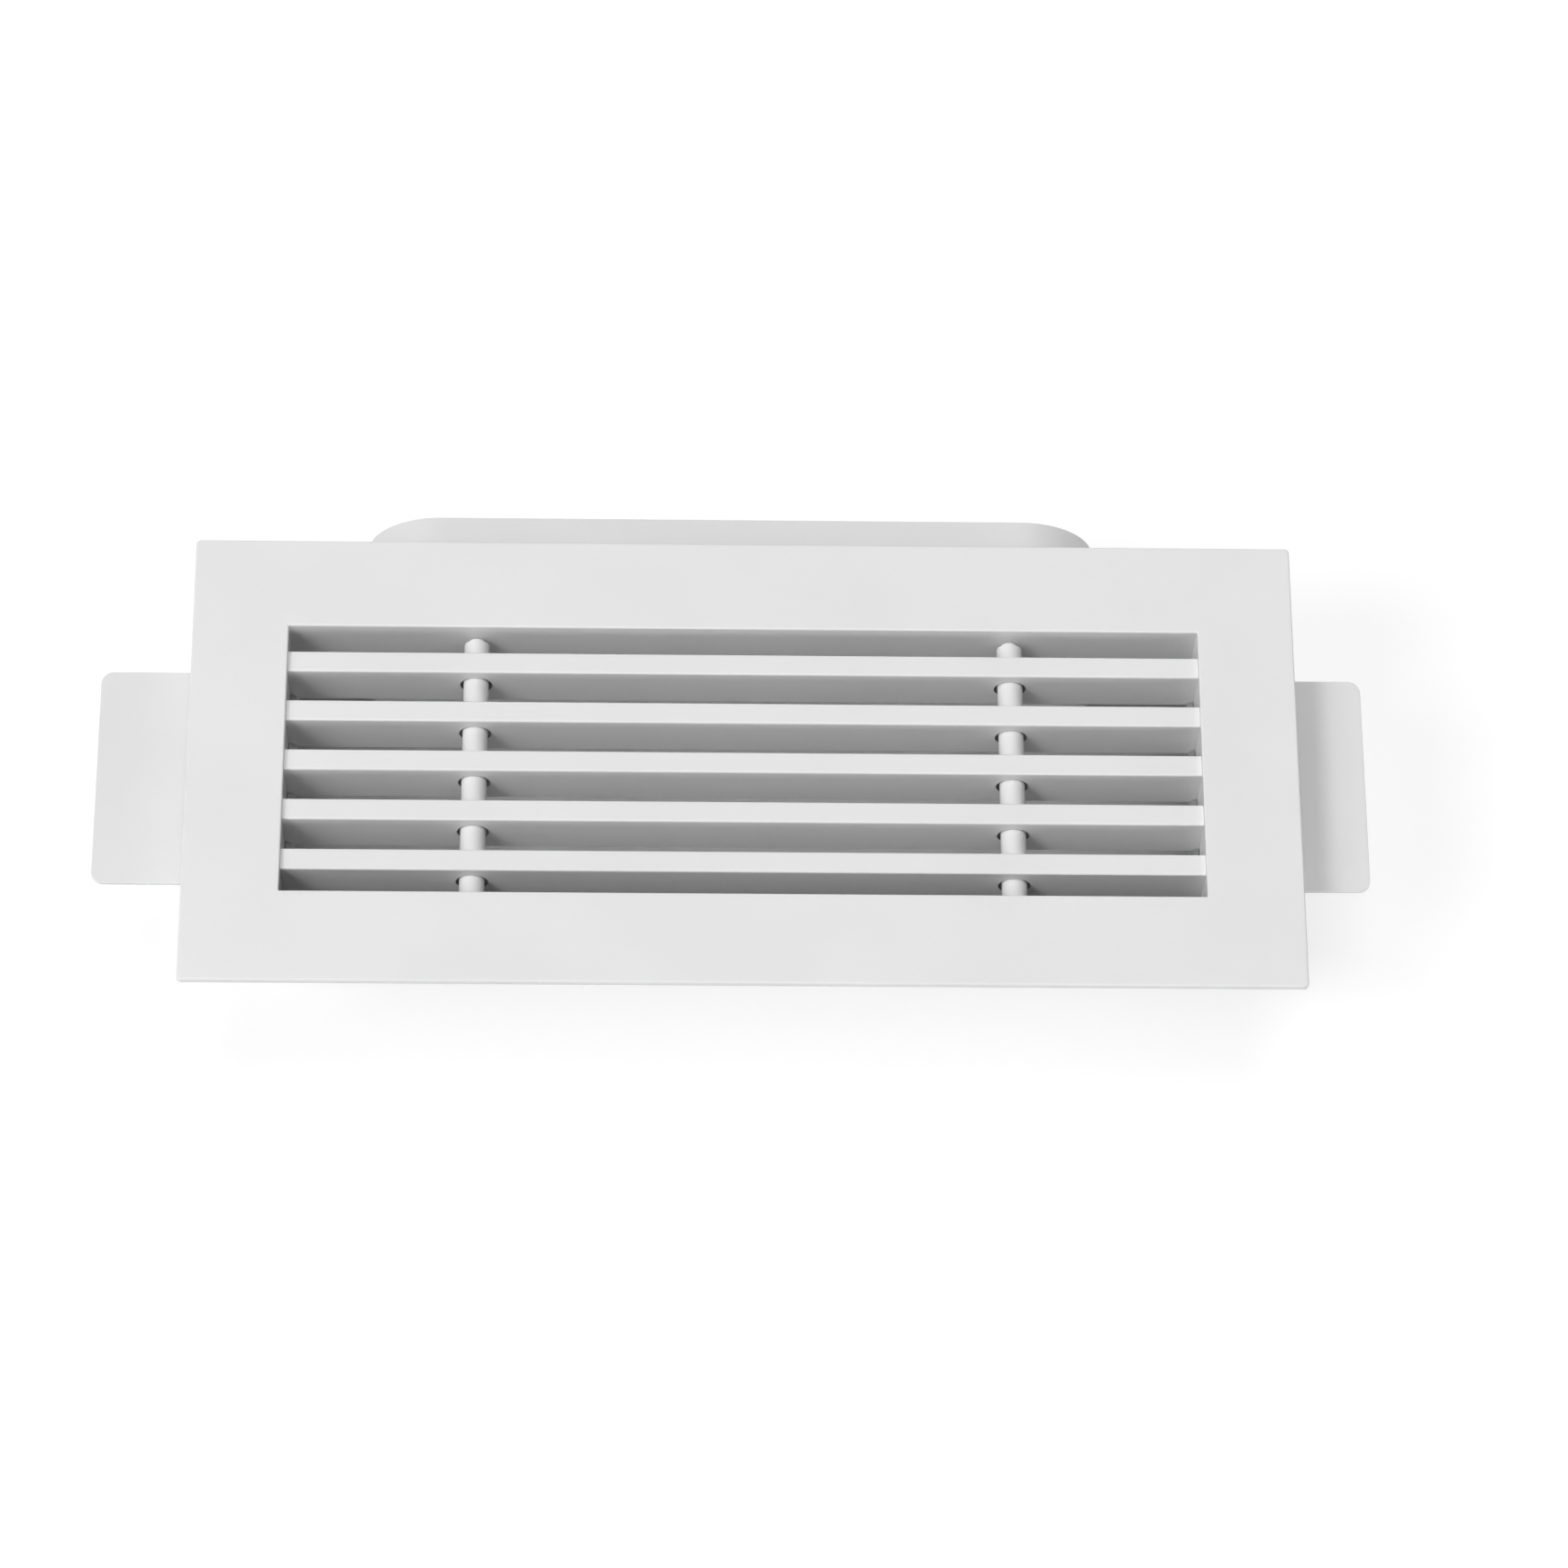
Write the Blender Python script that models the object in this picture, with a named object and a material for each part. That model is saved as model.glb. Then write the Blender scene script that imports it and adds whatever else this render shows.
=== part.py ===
# Linear bar grille with its duct box: a welded frame, five bars on two cross rods,
# and a white sheet metal plenum with two fixing ears and a flat oval duct spigot.
#
# Units are metres. The part lies on the flat back of its plenum with the face up.
# +X runs along the bars, +Y points towards the duct spigot, +Z is the air direction
# into the room. Inside the two empties a piece is placed by its depth below the face,
# so its local z is minus that depth.

import math

import bmesh
import bpy
from mathutils import Matrix, Vector

# Running gap between two pieces that touch.
CLEAR = 0.0003

# Bars, as seen from the room.
BAR_COUNT = 5
BAR_FACE = 0.0071
BAR_PITCH = 0.0172
BAR_DEPTH = 0.0195
BAR_RECESS = 0.002
BAR_FRONT_R = 0.0006
BAR_BACK_R = 0.0003
END_GAP = 0.0081

# Frame: a flange with a turned rim, and the neck that goes into the plenum.
OPENING_W = 0.289
FLANGE_BORDER = 0.0305
FLANGE_T = 0.0016
FLANGE_RIM_W = 0.0014
FLANGE_RIM_DEPTH = 0.0024
FLANGE_EDGE_R = 0.0006
FLANGE_CORNER_R = 0.0015
OPENING_CORNER_R = 0.0003
NECK_WALL = 0.0015
NECK_MARGIN = 0.0025
NECK_GRIP = 0.016

# Cross rods, screwed to the frame from outside the neck. They are turned down to a short
# tenon at each end, and the bars rest on them with the front of their holes, which lie
# ROD_HOLE_IN behind the bars' faces.
ROD_D = 0.008
ROD_SPACING = 0.170
ROD_HOLE_IN = 0.009
ROD_HOLE_CLEAR = 0.0011
ROD_CHAMFER = 0.0003
ROD_TENON_D = 0.005
ROD_TENON_L = 0.0012
SCREW_D = 0.003
SCREW_HEAD_D = 0.006
SCREW_HEAD_H = 0.0016
SCREW_CROWN = 0.00055
SCREW_REACH = 0.008

# Notched combs that hold the bar ends.
COMB_T = 0.002
COMB_BITE = 0.003
COMB_WEB = 0.008

# Blind rivets: those of the sheet metal and the smaller ones of the clips. The last two
# values are shares: the radius of the head's flat top, and the straight part of the tail.
RIVET_D = 0.0032
RIVET_HEAD_D = 0.0058
RIVET_HEAD_H = 0.0010
RIVET_TAIL_D = 0.0046
RIVET_TAIL_H = 0.0012
CLIP_RIVET_D = 0.0024
CLIP_RIVET_HEAD_D = 0.0044
CLIP_RIVET_HEAD_H = 0.0007
CLIP_RIVET_TAIL_D = 0.0036
CLIP_RIVET_TAIL_H = 0.0009
RIVET_TOP_SHARE = 0.56
RIVET_TAIL_SHARE = 0.6

# Spring clips on the neck, which grip the plenum.
CLIP_W = 0.016
CLIP_T = 0.0005
CLIP_IN = 0.0105
CLIP_INSET = 0.0025
CLIP_FOOT = 0.0055
CLIP_TIP_DROP = 0.0011
CLIP_CREST_SHARE = 0.6
CLIP_RISE_STEPS = 6
CLIP_FALL_STEPS = 4

# Flat rubber gasket behind the flange.
GASKET_W = 0.012
GASKET_T = 0.003

# Plenum box. The neck has this much slack in it, and it sits off centre by the shift.
PLENUM_SLACK_X = 0.006
PLENUM_SLACK_Y = 0.003
PLENUM_WALL = 0.0012
PLENUM_LENGTH = 0.068
PLENUM_SLOPE_Y = 0.036
PLENUM_SLOPE_Z = 0.035
PLENUM_FOLD_R = 0.0015
GRILLE_SHIFT = 0.0034

# Ear brackets.
EAR_DEPTH = 0.016
EAR_REACH = 0.048
EAR_H = 0.074
EAR_T = 0.0012
EAR_CORNER_R = 0.004
EAR_BEND_R = 0.0016
EAR_LEG = 0.020
EAR_HOLE_D = 0.005
EAR_HOLE_IN = 0.0090
EAR_HOLE_END = 0.015
EAR_RIVET_END = 0.023
EAR_RIVET_DROP = 0.012

# Flat oval spigot on the plenum's upper side, and its rubber seal.
SPIGOT_IN = 0.025
SPIGOT_MARGIN = 0.009
SPIGOT_LENGTH = 0.047
SPIGOT_WALL = 0.001
SPIGOT_COLLAR = 0.007
SPIGOT_COLLAR_T = 0.0012
SPIGOT_ENTRY = 0.001
SPIGOT_RIVET_IN = 0.0195
SEAL_START = 0.012
SEAL_LENGTH = 0.013
SEAL_T = 0.0012
SEAL_LIP = 0.0022
SEAL_LIPS = 2

# Facets: sides of a full circle, and the angle past which an edge is sharp.
ROUND_ROD = 32
ROUND_RIVET = 12
ROUND_SCREW = 20
ROUND_OVAL = 40
ROUND_EDGE = 12
ROUND_CORNER = 16
SHARP_ANGLE = 30

# Worked out from the sizes above.
OPENING_H = (BAR_COUNT - 1) * BAR_PITCH + BAR_FACE + 2 * END_GAP
BAR_BACK = BAR_RECESS + BAR_DEPTH
HOLE_DEPTH = BAR_RECESS + ROD_HOLE_IN
ROD_DEPTH = HOLE_DEPTH - ROD_HOLE_CLEAR + CLEAR
COMB_FRONT = BAR_BACK - COMB_BITE
COMB_BACK = BAR_BACK + COMB_WEB
COMB_RIVET_DEPTH = (BAR_BACK + CLEAR + COMB_BACK) / 2
COMB_RIVET_SPACING = (BAR_COUNT - 2) * BAR_PITCH
CLIP_SPACING = OPENING_W - 2 * CLIP_IN
NECK_DEPTH = max(COMB_BACK + NECK_MARGIN, EAR_DEPTH + NECK_GRIP)
NECK_HALF_X = OPENING_W / 2 + NECK_WALL
NECK_HALF_Y = OPENING_H / 2 + NECK_WALL
PLENUM_IN_X = NECK_HALF_X + PLENUM_SLACK_X
PLENUM_IN_Y = NECK_HALF_Y + PLENUM_SLACK_Y
PLENUM_OUT_X = PLENUM_IN_X + PLENUM_WALL
PLENUM_OUT_Y = PLENUM_IN_Y + PLENUM_WALL
PLENUM_BACK = EAR_DEPTH + PLENUM_LENGTH
EAR_HOLE_SPACING = EAR_H - 2 * EAR_HOLE_END
EAR_RIVET_SPACING = EAR_H - 2 * EAR_RIVET_END
SPIGOT_W = OPENING_W - 2 * SPIGOT_IN
SPIGOT_T = PLENUM_LENGTH - 2 * SPIGOT_MARGIN
SPIGOT_RIVET_SPACING = SPIGOT_W - SPIGOT_T - 2 * SPIGOT_RIVET_IN
SPIGOT_DEPTH = EAR_DEPTH + PLENUM_LENGTH / 2
FACE_Z = PLENUM_BACK

# Colours are linear.
WHITE_PAINT = ("white_paint", (0.80, 0.80, 0.80, 1.0), 0.42, 0.0)
WHITE_SHEET = ("white_sheet", (0.77, 0.77, 0.77, 1.0), 0.50, 0.0)
MILL_ALUMINIUM = ("mill_aluminium", (0.60, 0.61, 0.62, 1.0), 0.40, 1.0)
RIVET_ALUMINIUM = ("rivet_aluminium", (0.62, 0.63, 0.64, 1.0), 0.36, 1.0)
ZINC = ("zinc", (0.55, 0.56, 0.57, 1.0), 0.34, 1.0)
SPRING_STEEL = ("spring_steel", (0.42, 0.43, 0.45, 1.0), 0.28, 1.0)
GASKET_RUBBER = ("gasket_rubber", (0.060, 0.060, 0.065, 1.0), 0.85, 0.0)
RUBBER = ("rubber", (0.018, 0.018, 0.020, 1.0), 0.65, 0.0)


def clear_scene():
    for old in list(bpy.data.objects):
        bpy.data.objects.remove(old, do_unlink=True)


def material(spec):
    name, colour, roughness, metallic = spec
    found = bpy.data.materials.get(name)
    if found:
        return found
    made = bpy.data.materials.new(name)
    made.use_nodes = True
    shader = made.node_tree.nodes["Principled BSDF"]
    shader.inputs["Base Color"].default_value = colour
    shader.inputs["Roughness"].default_value = roughness
    shader.inputs["Metallic"].default_value = metallic
    return made


def empty(name, location):
    made = bpy.data.objects.new(name, None)
    made.location = location
    bpy.context.scene.collection.objects.link(made)
    return made


def piece(name, bm, spec, parent):
    """Turn a closed bmesh into a named object under its empty."""
    bmesh.ops.recalc_face_normals(bm, faces=bm.faces)
    mesh = bpy.data.meshes.new(name)
    bm.to_mesh(mesh)
    bm.free()
    mesh.shade_smooth()
    mesh.set_sharp_from_angle(angle=math.radians(SHARP_ANGLE))
    made = bpy.data.objects.new(name, mesh)
    made.parent = parent
    made.data.materials.append(material(spec))
    bpy.context.scene.collection.objects.link(made)
    return made


def cut(target, bm, parent, operation="DIFFERENCE"):
    """Cut a bmesh of separate closed cutters out of an object, or keep what is inside it."""
    cutter = piece(f"{target.name}_cutter_{len(target.modifiers) + 1}", bm, ZINC, parent)
    cutter.hide_render = True
    cutter.display_type = "WIRE"
    boolean = target.modifiers.new(cutter.name, "BOOLEAN")
    boolean.operation = operation
    boolean.solver = "EXACT"
    boolean.object = cutter


def side_by_side(count, pitch):
    """Offsets of evenly spaced copies about zero, the largest first."""
    return [((count - 1) / 2 - k) * pitch for k in range(count)]


def arc(centre, radius, start, stop, steps):
    """Points of an arc in a plane. Angles are in degrees."""
    points = []
    for k in range(steps + 1):
        angle = math.radians(start + (stop - start) * k / steps)
        points.append((centre[0] + radius * math.cos(angle), centre[1] + radius * math.sin(angle)))
    return points


def loft(bm, loops, closed):
    """Join loops of equal length with faces. Closed also joins the last to the first."""
    rings = [[bm.verts.new(point) for point in loop] for loop in loops]
    last = len(rings) if closed else len(rings) - 1
    for k in range(last):
        ring, following = rings[k], rings[(k + 1) % len(rings)]
        for i in range(len(ring)):
            j = (i + 1) % len(ring)
            bm.faces.new((ring[i], ring[j], following[j], following[i]))
    return rings


def prism(bm, outline, low, high, place):
    """Extrude a closed outline. place(a, b, along) gives the point in space."""
    rings = loft(bm, [[place(a, b, along) for a, b in outline] for along in (low, high)], False)
    bm.faces.new(rings[0])
    bm.faces.new(rings[1])


def along_x(a, b, along):
    return (along, a, b)


def along_y(a, b, along):
    return (a, along, b)


def along_z(a, b, along):
    return (a, b, along)


def rounded_rectangle(half_a, half_b, radii):
    """Outline with one radius for each corner, from (-, -) and on round."""
    points = []
    corners = ((-1, -1, 180), (1, -1, 270), (1, 1, 0), (-1, 1, 90))
    for (sign_a, sign_b, start), radius in zip(corners, radii):
        centre = (sign_a * (half_a - radius), sign_b * (half_b - radius))
        points += arc(centre, radius, start, start + 90, ROUND_EDGE // 4)
    return points


def lathe(bm, profile, at, axis, sides):
    """Turn a profile of (radius, distance along the axis) that starts and ends at radius 0."""
    turn = Vector((0, 0, 1)).rotation_difference(Vector(axis)).to_matrix().to_4x4()
    place = Matrix.Translation(at) @ turn
    first = bm.verts.new(place @ Vector((0, 0, profile[0][1])))
    last = bm.verts.new(place @ Vector((0, 0, profile[-1][1])))
    rings = []
    for radius, along in profile[1:-1]:
        ring = []
        for k in range(sides):
            angle = math.pi * (2 * k + 1) / sides
            point = Vector((radius * math.cos(angle), radius * math.sin(angle), along))
            ring.append(bm.verts.new(place @ point))
        rings.append(ring)
    for k in range(sides):
        j = (k + 1) % sides
        bm.faces.new((first, rings[0][k], rings[0][j]))
        bm.faces.new((last, rings[-1][j], rings[-1][k]))
        for ring, following in zip(rings, rings[1:]):
            bm.faces.new((ring[k], ring[j], following[j], following[k]))


def cylinder(bm, at, axis, radius, low, high, sides):
    lathe(bm, [(0, low), (radius, low), (radius, high), (0, high)], at, axis, sides)


def corner_point(half_x, half_y, signs, radius, angle):
    """Point at an angle on the rounded corner of a rectangle."""
    x = signs[0] * (half_x - radius) + radius * math.cos(angle)
    y = signs[1] * (half_y - radius) + radius * math.sin(angle)
    return x, y


def rectangle_ring(bm, half_x, half_y, profile, inner_r=0, outer_r=0):
    """Carry a profile of (outward offset, z) round a rectangle.

    Its corners are mitred, or rounded from inner_r at the rectangle to outer_r at the widest offset.
    """
    steps = ROUND_CORNER // 4 if outer_r else 0
    widest = max(out for out, z in profile)
    loops = []
    for quarter, signs in enumerate(((-1, -1), (1, -1), (1, 1), (-1, 1))):
        for k in range(steps + 1):
            angle = math.radians(180 + 90 * quarter + 90 * k / max(steps, 1))
            loop = []
            for out, z in profile:
                radius = inner_r + (outer_r - inner_r) * out / widest
                x, y = corner_point(half_x + out, half_y + out, signs, radius, angle)
                loop.append((x, y, z))
            loops.append(loop)
    loft(bm, loops, True)


def oval_normals():
    """Turns of a flat oval as (side of its middle, across, along) in order round it."""
    turns = []
    for sign, start in ((1, -90), (-1, 90)):
        for k in range(ROUND_OVAL // 2 + 1):
            angle = math.radians(start + 360 * k / ROUND_OVAL)
            turns.append((sign, math.cos(angle), math.sin(angle)))
    return turns


def oval_outline(half_x, half_z):
    return [(sign * (half_x - half_z) + half_z * a, half_z * b) for sign, a, b in oval_normals()]


def oval_ring(bm, half_x, half_z, profile, centre_z):
    """Carry a profile of (outward offset, y) round a flat oval that lies across Y."""
    loops = []
    for (x, z), (_, out_x, out_z) in zip(oval_outline(half_x, half_z), oval_normals()):
        loops.append([(x + out * out_x, y, centre_z + z + out * out_z) for out, y in profile])
    loft(bm, loops, True)


def make_frame(grille):
    edge = FLANGE_EDGE_R
    profile = arc((edge, -edge), edge, 180, 90, ROUND_EDGE // 4)
    profile += arc((FLANGE_BORDER - edge, -edge), edge, 90, 0, ROUND_EDGE // 4)
    profile += [
        (FLANGE_BORDER, -FLANGE_RIM_DEPTH),
        (FLANGE_BORDER - FLANGE_RIM_W, -FLANGE_RIM_DEPTH),
        (FLANGE_BORDER - FLANGE_RIM_W, -FLANGE_T),
        (NECK_WALL, -FLANGE_T),
        (NECK_WALL, -NECK_DEPTH),
        (0, -NECK_DEPTH),
    ]
    bm = bmesh.new()
    rectangle_ring(bm, OPENING_W / 2, OPENING_H / 2, profile, OPENING_CORNER_R, FLANGE_CORNER_R)
    frame = piece("frame", bm, WHITE_PAINT, grille)

    # Holes for the rod screws, the comb rivets and the clip rivets.
    holes = bmesh.new()
    low, high = -NECK_WALL * 2, NECK_WALL * 2
    for x, sign in rod_ends():
        at = (x, sign * NECK_HALF_Y, -ROD_DEPTH)
        cylinder(holes, at, (0, 1, 0), SCREW_D / 2 + CLEAR, low, high, ROUND_SCREW)
    for sign, y in comb_rivets():
        at = (sign * NECK_HALF_X, y, -COMB_RIVET_DEPTH)
        cylinder(holes, at, (1, 0, 0), RIVET_D / 2 + CLEAR, low, high, ROUND_RIVET)
    for x, sign in clip_places():
        at = (x, sign * NECK_HALF_Y, -clip_rivet_depth())
        cylinder(holes, at, (0, 1, 0), CLIP_RIVET_D / 2 + CLEAR, low, high, ROUND_RIVET)
    cut(frame, holes, grille)


def make_bars(grille):
    half = BAR_DEPTH / 2
    radii = (BAR_BACK_R, BAR_BACK_R, BAR_FRONT_R, BAR_FRONT_R)
    outline = rounded_rectangle(BAR_FACE / 2, half, radii)
    length = OPENING_W / 2 - CLEAR
    for number, y in enumerate(side_by_side(BAR_COUNT, BAR_PITCH), 1):
        bm = bmesh.new()
        centred = [(a + y, b - BAR_RECESS - half) for a, b in outline]
        prism(bm, centred, -length, length, along_x)
        bar = piece(f"bar_{number}", bm, WHITE_PAINT, grille)
        holes = bmesh.new()
        for x in side_by_side(2, ROD_SPACING):
            at = (x, y, -HOLE_DEPTH)
            radius = ROD_D / 2 + ROD_HOLE_CLEAR
            cylinder(holes, at, (0, 1, 0), radius, -BAR_FACE, BAR_FACE, ROUND_ROD)
        cut(bar, holes, grille)


def rod_ends():
    """Place across the grille and side of each rod end."""
    return [(x, sign) for x in side_by_side(2, ROD_SPACING) for sign in (1, -1)]


def make_rods(grille):
    half = OPENING_H / 2 - CLEAR
    shoulder = half - ROD_TENON_L
    bore = SCREW_D / 2 + CLEAR
    floor = half - SCREW_REACH - CLEAR
    top = [
        (0, floor),
        (bore, floor),
        (bore, half),
        (ROD_TENON_D / 2, half),
        (ROD_TENON_D / 2, shoulder),
        (ROD_D / 2 - ROD_CHAMFER, shoulder),
        (ROD_D / 2, shoulder - ROD_CHAMFER),
    ]
    profile = top + [(radius, -along) for radius, along in reversed(top)]
    for name, x in zip(("cross_rod_right", "cross_rod_left"), side_by_side(2, ROD_SPACING)):
        bm = bmesh.new()
        lathe(bm, profile, (x, 0, -ROD_DEPTH), (0, 1, 0), ROUND_ROD)
        piece(name, bm, WHITE_PAINT, grille)

    # Each screw has its head outside the neck and its shank in the rod.
    seat = NECK_HALF_Y + CLEAR
    tip = half - SCREW_REACH
    head = SCREW_HEAD_D / 2
    shank = SCREW_D / 2
    screw = [
        (0, tip),
        (shank - ROD_CHAMFER, tip),
        (shank, tip + ROD_CHAMFER),
        (shank, seat),
        (head, seat),
        (head, seat + SCREW_HEAD_H - SCREW_CROWN),
        (head - SCREW_CROWN, seat + SCREW_HEAD_H),
        (0, seat + SCREW_HEAD_H),
    ]
    for number, (x, sign) in enumerate(rod_ends(), 1):
        bm = bmesh.new()
        lathe(bm, screw, (x, 0, -ROD_DEPTH), (0, sign, 0), ROUND_SCREW)
        piece(f"rod_screw_{number}", bm, ZINC, grille)


def comb_rivets():
    """Side of the grille and height of each comb rivet."""
    return [(sign, y) for sign in (-1, 1) for y in side_by_side(2, COMB_RIVET_SPACING)]


def comb_outline():
    """Strip along Y with a notch for each bar, as (y, z) points."""
    half = OPENING_H / 2 - CLEAR
    floor = -(BAR_BACK + CLEAR)
    notch = BAR_FACE / 2 + CLEAR
    points = [(-half, -COMB_FRONT), (-half, -COMB_BACK), (half, -COMB_BACK), (half, -COMB_FRONT)]
    for y in side_by_side(BAR_COUNT, BAR_PITCH):
        points += [(y + notch, -COMB_FRONT), (y + notch, floor), (y - notch, floor), (y - notch, -COMB_FRONT)]
    return points


def make_combs(grille):
    outer = OPENING_W / 2 - CLEAR
    middle = outer - COMB_T / 2
    for name, sign in (("end_comb_left", -1), ("end_comb_right", 1)):
        bm = bmesh.new()
        low, high = sorted((sign * (outer - COMB_T), sign * outer))
        prism(bm, comb_outline(), low, high, along_x)
        comb = piece(name, bm, MILL_ALUMINIUM, grille)
        holes = bmesh.new()
        for side, y in comb_rivets():
            if side == sign:
                at = (sign * middle, y, -COMB_RIVET_DEPTH)
                cylinder(holes, at, (1, 0, 0), RIVET_D / 2 + CLEAR, -COMB_T, COMB_T, ROUND_RIVET)
        cut(comb, holes, grille)


def rivet(name, outer_face, outward, grip, parent, small=False):
    """Blind rivet: head on the outer face, tail past the grip of both sheets."""
    if small:
        sizes = (CLIP_RIVET_D, CLIP_RIVET_HEAD_D, CLIP_RIVET_HEAD_H, CLIP_RIVET_TAIL_D, CLIP_RIVET_TAIL_H)
    else:
        sizes = (RIVET_D, RIVET_HEAD_D, RIVET_HEAD_H, RIVET_TAIL_D, RIVET_TAIL_H)
    shank_d, head_d, head_h, tail_d, tail_h = sizes
    seat = CLEAR
    inside = -grip - CLEAR
    profile = [
        (0, seat + head_h),
        (head_d / 2 * RIVET_TOP_SHARE, seat + head_h),
        (head_d / 2, seat + head_h / 4),
        (head_d / 2, seat),
        (shank_d / 2, seat),
        (shank_d / 2, inside),
        (tail_d / 2, inside),
        (tail_d / 2, inside - tail_h * RIVET_TAIL_SHARE),
        (shank_d / 2, inside - tail_h),
        (0, inside - tail_h),
    ]
    bm = bmesh.new()
    lathe(bm, profile, outer_face, outward, ROUND_RIVET)
    piece(name, bm, RIVET_ALUMINIUM, parent)


def make_comb_rivets(grille):
    grip = NECK_WALL + CLEAR + COMB_T
    for number, (sign, y) in enumerate(comb_rivets(), 1):
        at = (sign * NECK_HALF_X, y, -COMB_RIVET_DEPTH)
        rivet(f"comb_rivet_{number}", at, (sign, 0, 0), grip, grille)


def clip_places():
    """Place across the grille and side of each spring clip."""
    return [(x, sign) for x in side_by_side(2, CLIP_SPACING) for sign in (1, -1)]


def clip_rivet_depth():
    return EAR_DEPTH + CLIP_INSET + CLIP_FOOT / 2


def clip_line():
    """Middle line of a clip as (depth, height over the neck): foot, bow and tip."""
    start = EAR_DEPTH + CLIP_INSET
    bow = start + CLIP_FOOT
    end = NECK_DEPTH - CLEAR
    low = CLEAR + CLIP_T / 2
    crest = PLENUM_SLACK_Y - CLEAR - CLIP_T / 2
    top = bow + (end - bow) * CLIP_CREST_SHARE
    points = [(start, low)]
    for k in range(CLIP_RISE_STEPS + 1):
        share = k / CLIP_RISE_STEPS
        rise = (1 - math.cos(math.pi * share)) / 2
        points.append((bow + (top - bow) * share, low + (crest - low) * rise))
    for k in range(1, CLIP_FALL_STEPS + 1):
        share = k / CLIP_FALL_STEPS
        fall = math.sin(math.pi / 2 * share) ** 2
        points.append((top + (end - top) * share, crest - CLIP_TIP_DROP * fall))
    return points


def strip_outline(line, thickness):
    """Give an open line a thickness, half of it on each side."""
    upper, lower = [], []
    for k, (a, b) in enumerate(line):
        before, after = line[max(k - 1, 0)], line[min(k + 1, len(line) - 1)]
        run = Vector((after[0] - before[0], after[1] - before[1])).normalized()
        upper.append((a - run.y * thickness / 2, b + run.x * thickness / 2))
        lower.append((a + run.y * thickness / 2, b - run.x * thickness / 2))
    return upper + lower[::-1]


def make_clips(grille):
    outline = strip_outline(clip_line(), CLIP_T)
    foot = CLEAR + CLIP_T
    for number, (x, sign) in enumerate(clip_places(), 1):
        side = [(sign * (NECK_HALF_Y + height), -depth) for depth, height in outline]
        bm = bmesh.new()
        prism(bm, side, x - CLIP_W / 2, x + CLIP_W / 2, along_x)
        clip = piece(f"spring_clip_{number}", bm, SPRING_STEEL, grille)
        holes = bmesh.new()
        at = (x, sign * (NECK_HALF_Y + CLEAR + CLIP_T / 2), -clip_rivet_depth())
        cylinder(holes, at, (0, 1, 0), CLIP_RIVET_D / 2 + CLEAR, -CLIP_T, CLIP_T, ROUND_RIVET)
        cut(clip, holes, grille)
        at = (x, sign * (NECK_HALF_Y + foot), -clip_rivet_depth())
        rivet(f"clip_rivet_{number}", at, (0, sign, 0), foot + NECK_WALL, grille, small=True)


def make_gasket(grille):
    inner = NECK_WALL + CLEAR
    front = -(FLANGE_T + CLEAR)
    profile = [
        (inner, front),
        (inner + GASKET_W, front),
        (inner + GASKET_W, front - GASKET_T),
        (inner, front - GASKET_T),
    ]
    bm = bmesh.new()
    rectangle_ring(bm, OPENING_W / 2, OPENING_H / 2, profile)
    piece("flange_gasket", bm, GASKET_RUBBER, grille)


def plenum_outline():
    """Side of the plenum as (y, z) points: front edges, then the sloped lower back corner."""
    half, front, back = PLENUM_OUT_Y, -EAR_DEPTH, -PLENUM_BACK
    return [
        (half, front),
        (-half, front),
        (-half, back + PLENUM_SLOPE_Z),
        (-half + PLENUM_SLOPE_Y, back),
        (half, back),
    ]


def inset(outline, distance):
    """Move each side of a convex outline inwards, for an outline that runs counter-clockwise."""
    moved = []
    for k, corner in enumerate(outline):
        before, after = outline[k - 1], outline[(k + 1) % len(outline)]
        into = Vector((corner[0] - before[0], corner[1] - before[1])).normalized()
        out_of = Vector((after[0] - corner[0], after[1] - corner[1])).normalized()
        # The corner moves along the sum of the two side normals, until both sides have moved far enough.
        normals = Vector((-into.y, into.x)) + Vector((-out_of.y, out_of.x))
        step = normals * (2 * distance / normals.length_squared)
        moved.append((corner[0] + step.x, corner[1] + step.y))
    return moved


def make_plenum(plenum):
    bm = bmesh.new()
    prism(bm, plenum_outline(), -PLENUM_OUT_X, PLENUM_OUT_X, along_x)
    folds = [edge for edge in bm.edges if not all(abs(v.co.z + EAR_DEPTH) < CLEAR for v in edge.verts)]
    bmesh.ops.bevel(bm, geom=folds, offset=PLENUM_FOLD_R, segments=2, profile=0.5, affect="EDGES")
    box = piece("plenum_box", bm, WHITE_SHEET, plenum)

    # The hollow opens at the front: its front side is moved out past the box.
    hollow = bmesh.new()
    inner = inset(plenum_outline(), PLENUM_WALL)
    inner[0] = (inner[0][0], 0)
    inner[1] = (inner[1][0], 0)
    prism(hollow, inner, -PLENUM_IN_X, PLENUM_IN_X, along_x)
    cut(box, hollow, plenum)

    # The spigot's hole, and the rivet holes of the spigot and the brackets.
    holes = bmesh.new()
    half_x, half_z = SPIGOT_W / 2 + CLEAR, SPIGOT_T / 2 + CLEAR
    outline = [(x, z - SPIGOT_DEPTH) for x, z in oval_outline(half_x, half_z)]
    depth = PLENUM_WALL * 2
    prism(holes, outline, PLENUM_OUT_Y - depth, PLENUM_OUT_Y + depth, along_y)
    for x, z in spigot_rivets():
        cylinder(holes, (x, PLENUM_OUT_Y, z), (0, 1, 0), RIVET_D / 2 + CLEAR, -depth, depth, ROUND_RIVET)
    for sign, y in bracket_rivets():
        at = (sign * PLENUM_OUT_X, y, -bracket_rivet_depth())
        cylinder(holes, at, (1, 0, 0), RIVET_D / 2 + CLEAR, -depth, depth, ROUND_RIVET)
    cut(box, holes, plenum)


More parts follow.
